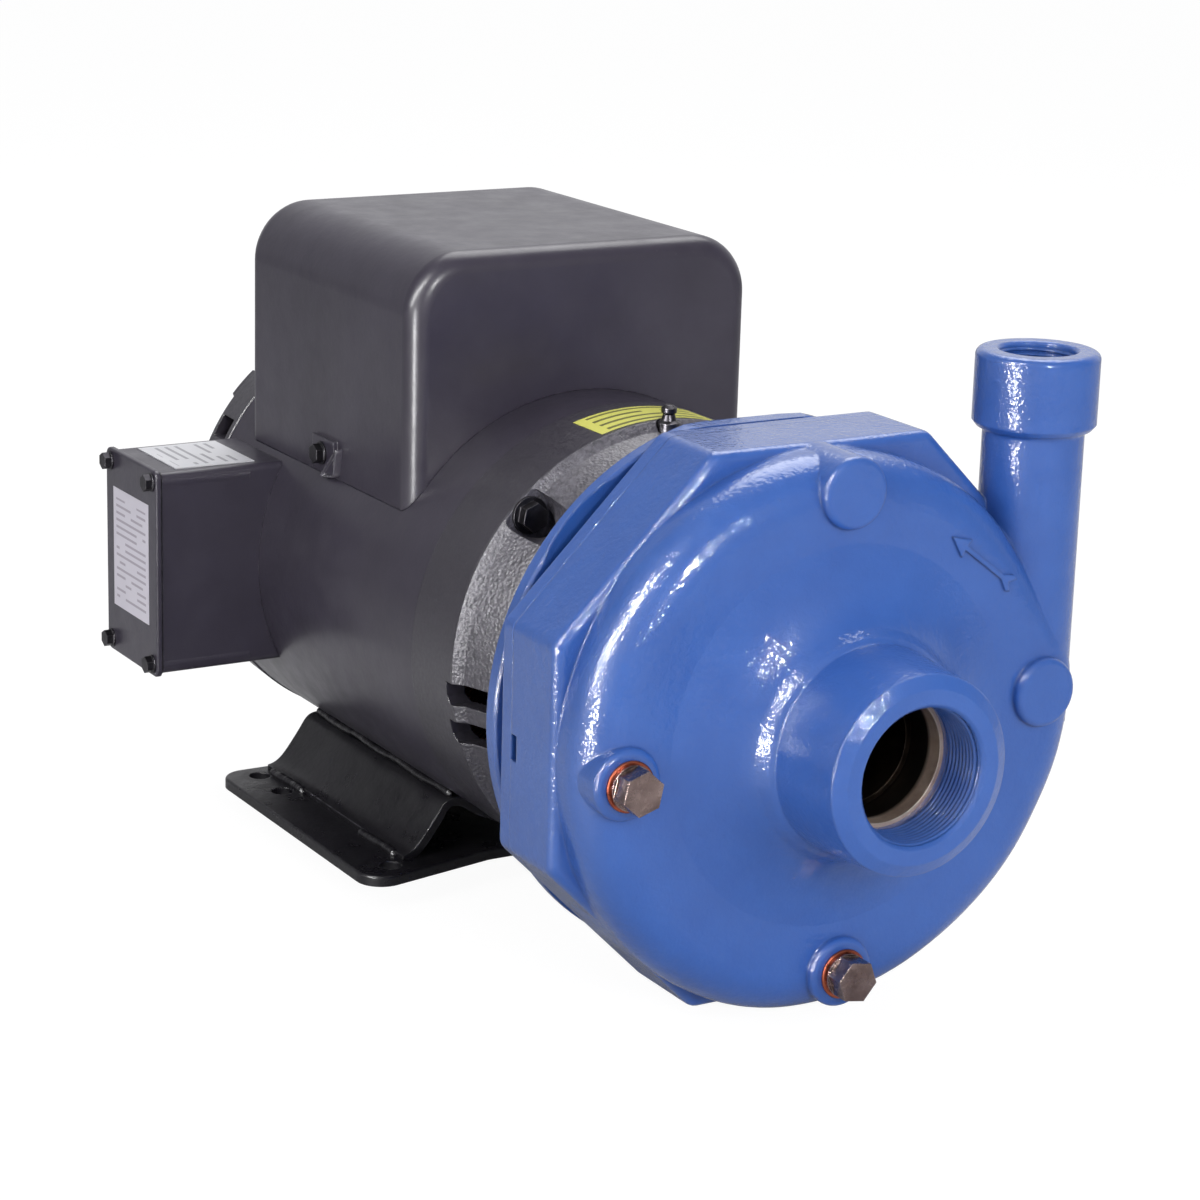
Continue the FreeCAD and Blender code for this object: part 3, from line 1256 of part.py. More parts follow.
def base_saddle():
    """Sheet swept along Y, from the plate up to the shell and down again."""
    half = dim.saddle_sheet.value / 2
    arc = ring_spots(DRUM_RAD.value + half, SADDLE_ARC_ANGLES)
    left = [Vector(x, 0, z) for x, z in SADDLE_SIDE + arc]
    right = [Vector(-point.x, 0, point.z) for point in reversed(left)]
    middle = spline(left + right)
    stations = 30
    span = middle.LastParameter - middle.FirstParameter
    upper, lower = [], []
    for i in range(stations + 1):
        parameter = middle.FirstParameter + span * i / stations
        point = middle.value(parameter)
        tangent = middle.tangent(parameter)[0]
        normal = Vector(-tangent.z, 0, tangent.x)
        upper.append(point + normal * half)
        lower.append(point - normal * half)
    face = face_between(*[(spline(points).toShape(), points[0], points[-1])
                          for points in (upper, lower)])
    front, rear = dim.saddle_front.value, dim.saddle_rear.value
    sheet_solid = face.extrude(Vector(0, rear - front, 0))
    sheet_solid.translate(Vector(0, front, 0))
    sheet_solid = sheet_solid.cut(DRUM)
    sheet_solid.translate(TO_SHAFT)
    # trim whatever dips into the base plate
    below = Part.makeBox(400, 400, 60, Vector(-200, -200, dim.base_thick.value - 60))
    return shape_of("base_saddle", sheet_solid.cut(below))


keep(motor_base())
keep(base_saddle())

# ---------------------------------------------------------------- check and write
doc.recompute()
faults = ["%s: %s" % (obj.Label, obj.State) for obj in doc.Objects
          if "Invalid" in obj.State or "Error" in obj.State]
for name, obj in PIECES:
    shape = obj.Shape
    if shape.isNull() or not shape.isValid() or not shape.Solids or shape.Volume <= 0:
        faults.append("%s: bad shape" % name)
if faults:
    raise SystemExit("failed: " + "; ".join(faults))

for file_name in os.listdir("parts"):
    if file_name.endswith(".step"):
        os.remove(os.path.join("parts", file_name))
for name, obj in PIECES:
    solids = obj.Shape.Solids
    shape = solids[0] if len(solids) == 1 else Part.makeCompound(solids)
    shape.exportStep("parts/%s.step" % name)
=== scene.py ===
"""A close-coupled centrifugal pump: blue cast casing, charcoal motor, black base.

The shaft lies along y with the suction port at the front (-y). The discharge port opens
upwards (+z) and the base stands on the floor below. CAD pieces get their materials here;
threads, weld beads and a small gusset are added as new meshes. Lengths are in metres.
"""
import json
import math

import bmesh
import bpy
from mathutils import Matrix, Vector


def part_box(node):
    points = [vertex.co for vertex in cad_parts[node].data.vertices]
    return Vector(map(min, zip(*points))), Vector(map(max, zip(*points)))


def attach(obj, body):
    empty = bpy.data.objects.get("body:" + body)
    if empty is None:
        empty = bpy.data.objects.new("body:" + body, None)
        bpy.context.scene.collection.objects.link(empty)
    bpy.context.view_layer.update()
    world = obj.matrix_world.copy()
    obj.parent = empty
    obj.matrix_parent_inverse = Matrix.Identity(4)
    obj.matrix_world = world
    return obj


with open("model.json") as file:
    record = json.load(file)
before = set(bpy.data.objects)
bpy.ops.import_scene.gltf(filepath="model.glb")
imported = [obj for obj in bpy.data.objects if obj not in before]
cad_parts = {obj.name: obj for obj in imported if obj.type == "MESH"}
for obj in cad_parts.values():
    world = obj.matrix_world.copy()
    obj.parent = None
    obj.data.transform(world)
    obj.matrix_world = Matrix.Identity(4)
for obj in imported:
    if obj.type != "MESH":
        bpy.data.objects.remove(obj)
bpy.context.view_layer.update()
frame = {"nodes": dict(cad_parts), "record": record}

scene = bpy.context.scene
casing_lo, casing_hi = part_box("casing")
shaft_lo, shaft_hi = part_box("motor_shaft")
SHAFT_Z = (shaft_lo.z + shaft_hi.z) / 2.0


# ------------------------------------------------------------------ node helpers
class Nodes:
    """An emptied node tree. Each method adds nodes and returns an output socket."""

    def __init__(self, tree, coords):
        self.tree = tree
        tree.nodes.clear()
        self.texcoord = self.node("TexCoord")
        self.coords = self.texcoord.outputs[coords]

    def node(self, kind):
        return self.tree.nodes.new("ShaderNode" + kind)

    def put(self, socket, value):
        """Link a socket, or set a value; three numbers make an opaque colour."""
        if isinstance(value, bpy.types.NodeSocket):
            self.tree.links.new(value, socket)
        elif isinstance(value, (tuple, list)) and len(value) == 3 and socket.type == "RGBA":
            socket.default_value = tuple(value) + (1.0,)
        else:
            socket.default_value = value

    def sep(self):
        node = self.node("SeparateXYZ")
        self.put(node.inputs[0], self.coords)
        return node.outputs

    def math(self, operation, a, b=0.0, clamp=False):
        node = self.node("Math")
        node.operation = operation
        node.use_clamp = clamp
        self.put(node.inputs[0], a)
        self.put(node.inputs[1], b)
        return node.outputs[0]

    def times(self, a, b):
        return self.math("MULTIPLY", a, b)

    def dot(self, a, b):
        node = self.node("VectorMath")
        node.operation = "DOT_PRODUCT"
        self.put(node.inputs[0], a)
        self.put(node.inputs[1], b)
        return node.outputs["Value"]

    def ramp(self, value, over, to=(0.0, 1.0), smooth=False):
        """Map the range `over` onto the range `to`, clamped."""
        node = self.node("MapRange")
        node.interpolation_type = "SMOOTHSTEP" if smooth else "LINEAR"
        node.clamp = True
        for socket, setting in zip(node.inputs, (value, *over, *to)):
            self.put(socket, setting)
        return node.outputs[0]

    def mix(self, factor, a, b):
        """Colour a where the factor is 0, b where it is 1."""
        node = self.node("Mix")
        node.data_type = "RGBA"
        self.put(node.inputs[0], factor)
        self.put(node.inputs[6], a)
        self.put(node.inputs[7], b)
        return node.outputs[2]

    def mix_shader(self, factor, a, b):
        node = self.node("MixShader")
        for socket, value in zip(node.inputs, (factor, a, b)):
            self.put(socket, value)
        return node.outputs[0]

    def camera_ray(self):
        return self.node("LightPath").outputs["Is Camera Ray"]


class Mat(Nodes):
    """A material around one Principled shader; `normal` carries the stacked bumps."""

    INPUTS = {"color": "Base Color", "metal": "Metallic", "rough": "Roughness",
              "spec": "Specular IOR Level", "coat": "Coat Weight",
              "coat_rough": "Coat Roughness", "coat_ior": "Coat IOR",
              "normal": "Normal", "coat_normal": "Coat Normal"}

    def __init__(self, name):
        self.material = bpy.data.materials.new(name)
        self.material.use_nodes = True
        super().__init__(self.material.node_tree, "Object")
        self.surface = self.node("OutputMaterial").inputs["Surface"]
        self.bsdf = self.node("BsdfPrincipled")
        self.put(self.surface, self.bsdf.outputs[0])
        self.normal = None

    def set(self, **values):
        for key, value in values.items():
            self.put(self.bsdf.inputs[self.INPUTS[key]], value)

    def noise(self, scale, detail=3.0, rough=0.55, distort=0.0, vector=None):
        node = self.node("TexNoise")
        self.put(node.inputs["Vector"], vector or self.coords)
        node.inputs["Scale"].default_value = scale
        node.inputs["Detail"].default_value = detail
        node.inputs["Roughness"].default_value = rough
        node.inputs["Distortion"].default_value = distort
        return node.outputs["Fac"]

    def mottle(self, scale, over=(0.3, 0.7), to=(0.0, 1.0), smooth=False, **noise):
        """Noise with its contrast stretched by a ramp."""
        return self.ramp(self.noise(scale, **noise), over, to, smooth)

    def cells(self, scale, smoothness):
        node = self.node("TexVoronoi")
        node.feature = "SMOOTH_F1"
        self.put(node.inputs["Vector"], self.coords)
        node.inputs["Scale"].default_value = scale
        node.inputs["Smoothness"].default_value = smoothness
        return node.outputs["Distance"]

    def stretched(self, scale):
        node = self.node("Mapping")
        self.put(node.inputs["Vector"], self.coords)
        node.inputs["Scale"].default_value = scale
        return node.outputs[0]

    def bevel(self, radius):
        node = self.node("Bevel")
        node.samples = 4
        node.inputs["Radius"].default_value = radius
        return node.outputs[0]

    def edge(self, radius):
        """0 on flats, towards 1 within radius of an edge."""
        true_normal = self.node("NewGeometry").outputs["Normal"]
        turned = self.math("SUBTRACT", 1.0, self.dot(self.bevel(radius), true_normal))
        return self.math("MULTIPLY", turned, 5.0, clamp=True)

    def occlusion(self, distance, samples):
        node = self.node("AmbientOcclusion")
        node.samples = samples
        node.inputs["Distance"].default_value = distance
        return node.outputs["AO"]

    def bump(self, height, distance, strength):
        node = self.node("Bump")
        node.inputs["Strength"].default_value = strength
        node.inputs["Distance"].default_value = distance
        self.put(node.inputs["Height"], height)
        if self.normal is not None:
            self.put(node.inputs["Normal"], self.normal)
        self.normal = node.outputs[0]
        return self.normal

    def finish(self):
        self.set(normal=self.normal, coat_normal=self.normal)
        return self.material


def srgb(r, g, b):
    """Linear colour from 0-255 sRGB."""
    def linear(c):
        c /= 255.0
        return c / 12.92 if c <= 0.04045 else ((c + 0.055) / 1.055) ** 2.4
    return (linear(r), linear(g), linear(b))


def lighter(color, by):
    return srgb(*[min(255, c + by) for c in color])


# ------------------------------------------------------------------ materials
def pump_enamel(name, bevel=0.0015, grain=1.0, dark=1.0):
    """Glossy blue enamel sprayed thinly over a sand casting: lumpy, with a fine grain on top.

    grain scales every bump; dark multiplies the two base blues."""
    m = Mat(name)
    m.normal = m.bevel(bevel)
    m.bump(m.noise(26, detail=2, rough=0.5), distance=0.0012 * grain, strength=0.5)
    m.bump(m.noise(170, detail=3, rough=0.6, distort=0.4), distance=0.00030 * grain,
           strength=0.6)
    skin = m.bump(m.noise(520, detail=2, rough=0.6), distance=0.00012 * grain, strength=0.7)
    base = m.mix(m.mottle(34, detail=4, rough=0.6), [c * dark for c in srgb(38, 81, 156)],
                 [c * dark for c in srgb(43, 88, 165)])
    # lighter blue along the edges, standing partly for wear and partly for painted highlight
    edge_wear_and_highlight = m.times(m.edge(0.0018), m.mottle(260, over=(0.42, 0.7), to=(0.05, 0.4)))
    base = m.mix(edge_wear_and_highlight, base, srgb(78, 116, 188))
    # painted shade: ambient occlusion darkens the blue towards a deep blue in hollows and
    # creases
    painted_shade_in_hollows = m.ramp(m.occlusion(0.010, samples=3), over=(0.35, 0.9), to=(0.42, 0.0))
    base = m.mix(painted_shade_in_hollows, base, srgb(24, 46, 108))
    m.set(color=base, rough=m.mottle(150, to=(0.4, 0.55), rough=0.6), spec=0.3, coat=1.0,
          coat_rough=m.mottle(90, to=(0.03, 0.07), detail=2), coat_ior=1.5, normal=skin)
    # the clear top follows the sand grain more sharply, breaking its highlights into sparks
    patch = m.mottle(42, over=(0.34, 0.68), to=(0.45, 1.0), smooth=True, rough=0.6)
    m.bump(m.times(m.noise(430, detail=2, rough=0.6), patch), distance=0.00052 * grain,
           strength=0.9)
    m.bump(m.ramp(m.cells(410, smoothness=0.5), over=(0.0, 0.5), smooth=True),
           distance=0.00011 * grain, strength=0.7)
    m.set(coat_normal=m.normal)
    return m.material


def satin_paint(name, lo, hi, rough, peel=1.0, coat=0.0, edge_wear_and_highlight_color=(120, 118, 126),
                edge_wear_and_highlight=0.5, bevel=0.0009, dust=(150, 148, 152), spec=0.5):
    """Sprayed sheet metal between two shades: faint orange peel, edges lightened by wear and by
    painted highlight, a little dust.
    """
    dust_amount = 0.05
    m = Mat(name)
    m.normal = m.bevel(bevel)
    m.bump(m.noise(420, detail=2, rough=0.5), distance=0.00010 * peel, strength=0.5)
    m.bump(m.noise(46, detail=2, rough=0.5), distance=0.0006 * peel, strength=0.3)
    base = m.mix(m.mottle(22, detail=4, rough=0.6), srgb(*lo), srgb(*hi))
    specks = m.mottle(1500, over=(0.71, 0.76), to=(0.0, dust_amount * 3), detail=2, rough=0.5)
    base = m.mix(specks, base, srgb(*dust))
    film = m.mottle(9, over=(0.5, 0.8), to=(0.0, dust_amount), detail=5, rough=0.65)
    base = m.mix(film, base, srgb(*dust))
    # lighter edges: partly wear, partly painted highlight
    edge_wear_and_highlight_mask = m.times(m.edge(bevel * 1.3),
                     m.mottle(190, over=(0.46, 0.66), to=(0.0, edge_wear_and_highlight), detail=4))
    base = m.mix(edge_wear_and_highlight_mask, base, srgb(*edge_wear_and_highlight_color))
    m.set(color=base, rough=m.mottle(70, to=rough, detail=4, rough=0.6), spec=spec,
          coat=coat, coat_rough=0.22)
    return m.finish()


def shield_cast(name, split_y):
    """Die-cast endshield: charcoal paint, thin over the coarse skin in front of split_y."""
    m = Mat(name)
    m.normal = m.bevel(0.0009)
    front = m.ramp(m.sep()[1], over=(split_y - 0.0012, split_y + 0.0010), to=(1.0, 0.0),
                   smooth=True)
    coarse = m.noise(400, detail=4, rough=0.72, distort=0.3)
    # the skin shows at 15 % behind the split
    relief = m.math("ADD", m.times(front, 0.85), 0.15)
    m.bump(m.times(coarse, relief), distance=0.0006, strength=0.8)
    m.bump(m.times(m.cells(640, smoothness=0.4), front), distance=0.0004, strength=0.6)
    bare = m.mix(m.mottle(330, over=(0.34, 0.68), detail=4, rough=0.75),
                 srgb(60, 58, 65), srgb(108, 105, 114))
    bare = m.mix(m.mottle(16, over=(0.35, 0.7), to=(0.0, 0.4)), bare, srgb(62, 60, 67))
    coated = m.mix(m.mottle(24, detail=4, rough=0.6), srgb(42, 39, 48), srgb(51, 48, 57))
    # painted light from above: the bare skin colour fades into the charcoal towards the bottom
    painted_top_light = m.ramp(m.sep()[2], over=(0.085, 0.150), to=(0.25, 1.0), smooth=True)
    base = m.mix(m.times(front, painted_top_light), coated, bare)
    m.set(color=base, rough=m.mottle(500, to=(0.3, 0.48), detail=2),
          metal=m.times(front, 0.12), spec=0.55, coat=0.25, coat_rough=0.25)
    return m.finish()


def metal_nodes(name, color, dark, rough, scale, stain=None, stretch=None, metallic=1.0):
    """Streaked metal with painted highlights on its edges; returns the open material and its
    colour socket.
    """
    bevel = 0.0005
    m = Mat(name)
    m.normal = m.bevel(bevel)
    vector = m.stretched(stretch) if stretch else None
    streaks = m.noise(scale * 3, rough=0.6, vector=vector)
    m.bump(streaks, distance=0.00004, strength=0.7)
    base = m.mix(m.mottle(scale * 0.25, over=(0.32, 0.68), detail=4, rough=0.6),
                 srgb(*dark), srgb(*color))
    if stain:
        stained = m.mottle(scale * 0.12, over=(0.5, 0.74), to=(0.0, 0.6), detail=5, rough=0.7)
        base = m.mix(stained, base, srgb(*stain))
    # painted highlight: edges lightened towards a paler copy of the colour
    base = m.mix(m.times(m.edge(bevel * 1.5), 0.6), base, lighter(color, by=30))
    # "rough" is the noise's own roughness here; `to` is the shader's range
    m.set(color=base, metal=metallic,
          rough=m.mottle(scale, to=rough, detail=4, rough=0.6, vector=vector))
    return m, base


def metal(*args):
    return metal_nodes(*args)[0].finish()


def wear_ring():
    """Machined bright at its front lip, with painted shade darkening it further into the bore.
    """
    m, base = metal_nodes("wear_ring", color=(250, 228, 210), dark=(226, 198, 176),
                          rough=(0.34, 0.46), scale=300, stain=(170, 130, 104),
                          stretch=(1, 14, 1), metallic=0.75)
    lip_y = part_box("casing_wear_ring")[0].y
    # painted shade: the ring turns near-black further into the bore
    depth = m.ramp(m.sep()["Y"], over=(lip_y + 0.0060, lip_y + 0.0085))
    m.set(color=m.mix(depth, base, srgb(30, 25, 23)))
    return m.finish()


def plastic(name, lo, hi, rough=(0.35, 0.5), scale=500, bump=0.00008):
    """Moulded surface between two shades; scale and bump are the fine grain's size and depth."""
    m = Mat(name)
    m.normal = m.bevel(0.0006)
    m.bump(m.noise(scale, detail=2, rough=0.5), distance=bump, strength=0.6)
    base = m.mix(m.mottle(60, detail=4, rough=0.6), srgb(*lo), srgb(*hi))
    # painted highlight: edges lightened towards a paler shade
    base = m.mix(m.times(m.edge(0.0008), 0.35), base, lighter(hi, by=40))
    m.set(color=base, rough=m.mottle(180, to=rough))
    return m.finish()


def copper_winding():
    """Lacquered wires wound in rings about the shaft."""
    m = Mat("copper_winding")
    wave = m.node("TexWave")
    wave.wave_type = "RINGS"
    wave.rings_direction = "Y"
    m.put(wave.inputs["Vector"], m.coords)
    wave.inputs["Scale"].default_value = 160
    wave.inputs["Distortion"].default_value = 3.0
    wave.inputs["Detail"].default_value = 2.0
    wires = wave.outputs["Fac"]
    m.bump(wires, distance=0.0006, strength=0.8)
    base = m.mix(wires, srgb(96, 44, 20), srgb(178, 98, 48))
    base = m.mix(m.mottle(60, over=(0.4, 0.7), to=(0.0, 0.6)), base, srgb(110, 60, 30))
    m.set(color=base, metal=0.6, rough=m.mottle(300, to=(0.25, 0.45), detail=2), coat=0.5,
          coat_rough=0.2)
    return m.finish()


def label(name, node, u_axis, v_axis, paper, ink, rows, fill, seed=0.0):
    """Printed label with plain bars for text.

    u runs along the rows and v across them; fill is the share of word places inked."""
    margin = 0.08
    m = Mat(name)
    m.normal = m.bevel(0.0002)
    m.bump(m.noise(60, detail=2), distance=0.0002, strength=0.3)
    position = m.sep()
    lo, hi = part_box(node)

    def across(axis):
        return m.math("DIVIDE", m.math("SUBTRACT", position[axis], lo[axis]),
                      hi[axis] - lo[axis])

    def between(value, low, high):
        return m.times(m.math("GREATER_THAN", value, low), m.math("LESS_THAN", value, high))

    u = across(u_axis)
    v = across(v_axis)
    row = m.times(v, float(rows))
    in_row = m.math("FRACT", row)
    row_number = m.math("FLOOR", row)
    bar = between(in_row, 0.36, 0.72)
    # each row has six word places, inked or left blank at random
    random = m.node("TexWhiteNoise")
    random.noise_dimensions = "2D"
    place = m.node("CombineXYZ")
    m.put(place.inputs[0], m.math("FLOOR", m.times(u, 6.0)))
    m.put(place.inputs[1], m.math("ADD", row_number, seed))
    m.put(random.inputs["Vector"], place.outputs[0])
    word = m.math("LESS_THAN", random.outputs["Value"], fill)
    inside = m.times(between(u, margin, 1 - margin), between(v, margin, 1 - margin))
    inked = m.times(m.times(m.times(bar, word), inside), 0.8)
    base = m.mix(m.mottle(30), srgb(*paper), lighter(paper, by=7))
    base = m.mix(inked, base, srgb(*ink))
    m.set(color=base, rough=m.mottle(150, to=(0.3, 0.42), detail=2), spec=0.5, coat=0.2,
          coat_rough=0.2)
    return m.finish()


# key: material name, bright colour, dark colour, roughness range, grain scale,
#      then optionally stain colour and grain stretch
METALS = {
    "stainless": ("stainless", (206, 196, 184), (150, 138, 126), (0.16, 0.32), 300,
                  (140, 108, 84)),
    "steel": ("steel", (186, 186, 188), (140, 140, 144), (0.18, 0.34), 240),
    "zinc_bolt": ("zinc_bolt", (196, 198, 200), (150, 152, 158), (0.26, 0.42), 260,
                  (128, 126, 118)),
    "bronze": ("bronze", (226, 190, 146), (176, 132, 92), (0.18, 0.36), 240,
               (120, 86, 58), (1, 8, 1)),
    "grease_fitting": ("dark_zinc", (104, 102, 106), (58, 56, 60), (0.24, 0.4), 260,
                       (30, 29, 31)),
    # the impeller, its washer and bolt sit inside the dark casing: painted shade darkens their
    # colours
    "impeller": ("impeller_bronze", (60, 50, 42), (30, 25, 22), (0.34, 0.5), 240,
                 (18, 15, 13)),
    "impeller_washer": ("dark_stainless", (84, 80, 78), (48, 46, 46), (0.3, 0.45), 300,
                        (24, 22, 21)),
    "vent_plug": ("plug_steel", (166, 146, 140), (98, 82, 80), (0.17, 0.33), 300,
                  (88, 62, 52)),
    "copper_washer": ("copper_washer", (190, 104, 76), (142, 70, 52), (0.24, 0.4), 300),
    "black_bolt": ("black_bolt", (70, 68, 72), (38, 37, 41), (0.3, 0.45), 300,
                   (24, 23, 26)),
    "lamination": ("lamination", (120, 118, 116), (84, 82, 82), (0.38, 0.5), 300,
                   None, (0.1, 30, 0.1)),
    "capacitor_can": ("capacitor_can", (200, 202, 206), (170, 172, 178), (0.28, 0.4), 200),
}


def build_materials():
    """All CAD materials, keyed by node name or by material slot."""
    made = {
        "pump_enamel": pump_enamel("pump_enamel"),
        "motor_enamel": satin_paint("motor_enamel", lo=(49, 45, 56), hi=(57, 53, 65),
                                    rough=(0.28, 0.40), coat=0.2, spec=0.38),
        # the strong edge lightening here is mostly painted highlight along the glossy black
        # edges
        "base_enamel": satin_paint("base_enamel", lo=(12, 11, 16), hi=(19, 17, 23),
                                   rough=(0.24, 0.42), peel=1.6, edge_wear_and_highlight_color=(104, 102, 110),
                                   edge_wear_and_highlight=0.8, dust=(90, 88, 92)),
        # split far in front of the pump, so this one is coated all over
        "shield_cast": shield_cast("shield_cast", split_y=-1.0),
        "front_endshield": shield_cast("shield_cast_front",
                                       split_y=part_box("shield_label")[0].y - 0.0018),
    }
    for key, row in METALS.items():
        made[key] = metal(*row)
    # the impeller bolt shares the washer's painted-shade material
    made["impeller_bolt"] = made["impeller_washer"]
    made["drain_plug"] = made["vent_plug"]
    made.update({
        "casing_wear_ring": wear_ring(),
        "black_rubber": plastic("black_rubber", lo=(18, 18, 19), hi=(30, 30, 31),
                                rough=(0.5, 0.7), scale=900, bump=0.00012),
        "dark_plastic": plastic("dark_plastic", lo=(30, 29, 31), hi=(44, 43, 45)),
        "capacitor_case": plastic("capacitor_case", lo=(20, 20, 22), hi=(30, 30, 33),
                                  rough=(0.25, 0.4)),
        "seal_ceramic": plastic("seal_ceramic", lo=(214, 208, 196), hi=(228, 224, 214),
                                rough=(0.18, 0.28), scale=700, bump=0.00003),
        "copper_winding": copper_winding(),
        "cover_label": label("white_label", "cover_label", u_axis=1, v_axis=2,
                             paper=(206, 202, 212), ink=(150, 142, 156), rows=17, fill=0.72),
        "nameplate": label("white_label_plate", "nameplate", u_axis=1, v_axis=0,
                           paper=(205, 205, 209), ink=(120, 120, 128), rows=8, fill=0.6,
                           seed=9),
        "shield_label": label("yellow_label", "shield_label", u_axis=0, v_axis=1,
                              paper=(204, 203, 96), ink=(44, 42, 30), rows=4, fill=0.93,
                              seed=4),
    })
    return made


materials = build_materials()
slots = {part["node"]: part["material_slot"] for part in frame["record"]["subparts"]}
for name, obj in frame["nodes"].items():
    # a material made for this very node wins over the one for its slot
    material = materials.get(name) or materials[slots[name]]
    if not obj.data.materials:
        obj.data.materials.append(material)
    for material_slot in obj.material_slots:
        material_slot.material = material


# ------------------------------------------------------------------ mesh helpers
def mesh_object(name, bm):
    mesh = bpy.data.meshes.new(name)
    bm.to_mesh(mesh)
    bm.free()
    obj = bpy.data.objects.new(name, mesh)
    scene.collection.objects.link(obj)
    return obj


def piece(name, bm, material, smooth=True):
    """A new part that rides on the frame."""
    bmesh.ops.recalc_face_normals(bm, faces=bm.faces)
    bm.normal_update()
    obj = mesh_object(name, bm)
    obj.data.materials.append(material)
    if smooth:
        for face in obj.data.polygons:
            face.use_smooth = True
    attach(obj, "frame")


def grid_faces(bm, rows, closed=False):
    """Quads between successive rows; closed joins each row's end to its start."""
    count = len(rows[0])
    for a, b in zip(rows, rows[1:]):
        for j in range(count if closed else count - 1):
            k = (j + 1) % count
            bm.faces.new((a[j], a[k], b[k], b[j]))


def capped_tube(bm, rows):
    grid_faces(bm, rows, closed=True)
    bm.faces.new(list(reversed(rows[0])))
    bm.faces.new(rows[-1])


def perpendiculars(axis):
    first = axis.orthogonal().normalized()
    return first, axis.cross(first)


# ------------------------------------------------------------------ port threads
THREAD_PITCH = 0.002209
THREAD_STEPS = 64          # sections per turn
THREAD_FADE = 0.35         # turns over which the ridge rises and dies away


def thread(name, start, axis, root, crest, turns, material):
    """Internal thread: one helical ridge standing in from radius root to radius crest."""
    axis = Vector(axis).normalized()
    side, other = perpendiculars(axis)
    pitch = THREAD_PITCH
    bm = bmesh.new()
    rows = []
    for i in range(int(turns * THREAD_STEPS) + 1):
        turn = i / THREAD_STEPS
        angle = 2 * math.pi * turn
        depth = max(0.04, min(1.0, turn / THREAD_FADE, (turns - turn) / THREAD_FADE))
        along = pitch * turn
        tip = root + (crest - root) * depth
        # section: offset along the axis, radius
        section = [(-0.46 * pitch, root), (-0.07 * pitch, tip), (0.07 * pitch, tip),
                   (0.46 * pitch, root), (0.0, root + 0.00012)]
        rows.append([
            bm.verts.new(Vector(start) + axis * (along + offset)
                         + (side * math.cos(angle) + other * math.sin(angle)) * radius)
            for offset, radius in section])
    capped_tube(bm, rows)
    piece(name, bm, material, smooth=False)


bore_paint = pump_enamel("pump_enamel_bore", bevel=0.0008, grain=0.35, dark=0.9)
thread("suction_thread", start=(0, casing_lo.y + 0.0025, SHAFT_Z), axis=(0, 1, 0),
       root=0.02833, crest=0.02742, turns=9.3, material=bore_paint)
discharge = next(mount["pos_m"] for mount in frame["record"]["mounts"]
                 if mount["name"] == "discharge_port")
thread("discharge_thread", start=(discharge[0], discharge[1], casing_hi.z - 0.0023),
       axis=(0, 0, -1), root=0.01603, crest=0.01515, turns=8.5, material=bore_paint)

# ------------------------------------------------------------------ gusset
# corners: y, height above the shaft
GUSSET_CORNERS = ((0.0165, 0.0512), (-0.0014, 0.0685), (0.0013, 0.0540))
# rings from the cover side outwards, then in over the dished face:
# size about the centroid, x from the gusset plane
GUSSET_RINGS = ((1.0, 0.0024), (1.0, -0.0008), (0.97, -0.0013), (0.86, -0.0013),
                (0.80, -0.0006), (0.74, 0.0002), (0.3, 0.0003))
# places along each side; stopping short of the corners blunts them
GUSSET_SIDE_STEPS = (0.06, 0.2, 0.4, 0.6, 0.8, 0.94)


def cover_gusset():
    """Folded triangular gusset on the left (-x) face of the capacitor cover."""
    plane_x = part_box("capacitor_cover")[0].x - 0.0002
    corners = [(y, SHAFT_Z + height) for y, height in GUSSET_CORNERS]
    mid_y = sum(y for y, z in corners) / 3.0
    mid_z = sum(z for y, z in corners) / 3.0
    bm = bmesh.new()
    rings = []
    for size, offset_x in GUSSET_RINGS:
        ring = []
        for i in range(3):
            (y0, z0), (y1, z1) = corners[i], corners[(i + 1) % 3]
            for t in GUSSET_SIDE_STEPS:
                y = y0 + (y1 - y0) * t
                z = z0 + (z1 - z0) * t
                ring.append(bm.verts.new((plane_x + offset_x, mid_y + (y - mid_y) * size,
                                          mid_z + (z - mid_z) * size)))
        rings.append(ring)
    grid_faces(bm, rings, closed=True)
    bm.faces.new(rings[-1])
    # a paler copy of the motor enamel with near-white edges: painted highlight on the glossy tab
    paint = satin_paint("tab_enamel_painted_highlight", lo=(58, 55, 64), hi=(84, 80, 90), rough=(0.16, 0.28),
                        coat=0.8, bevel=0.0004, edge_wear_and_highlight_color=(170, 168, 174))
    piece("cover_gusset", bm, paint)


cover_gusset()

# ------------------------------------------------------------------ weld beads
BEAD_STEP = 0.0007         # spacing of sections along a bead
BEAD_RIPPLE = 0.0022       # length of one scallop of the weld puddle
BEAD_SIDES = 10


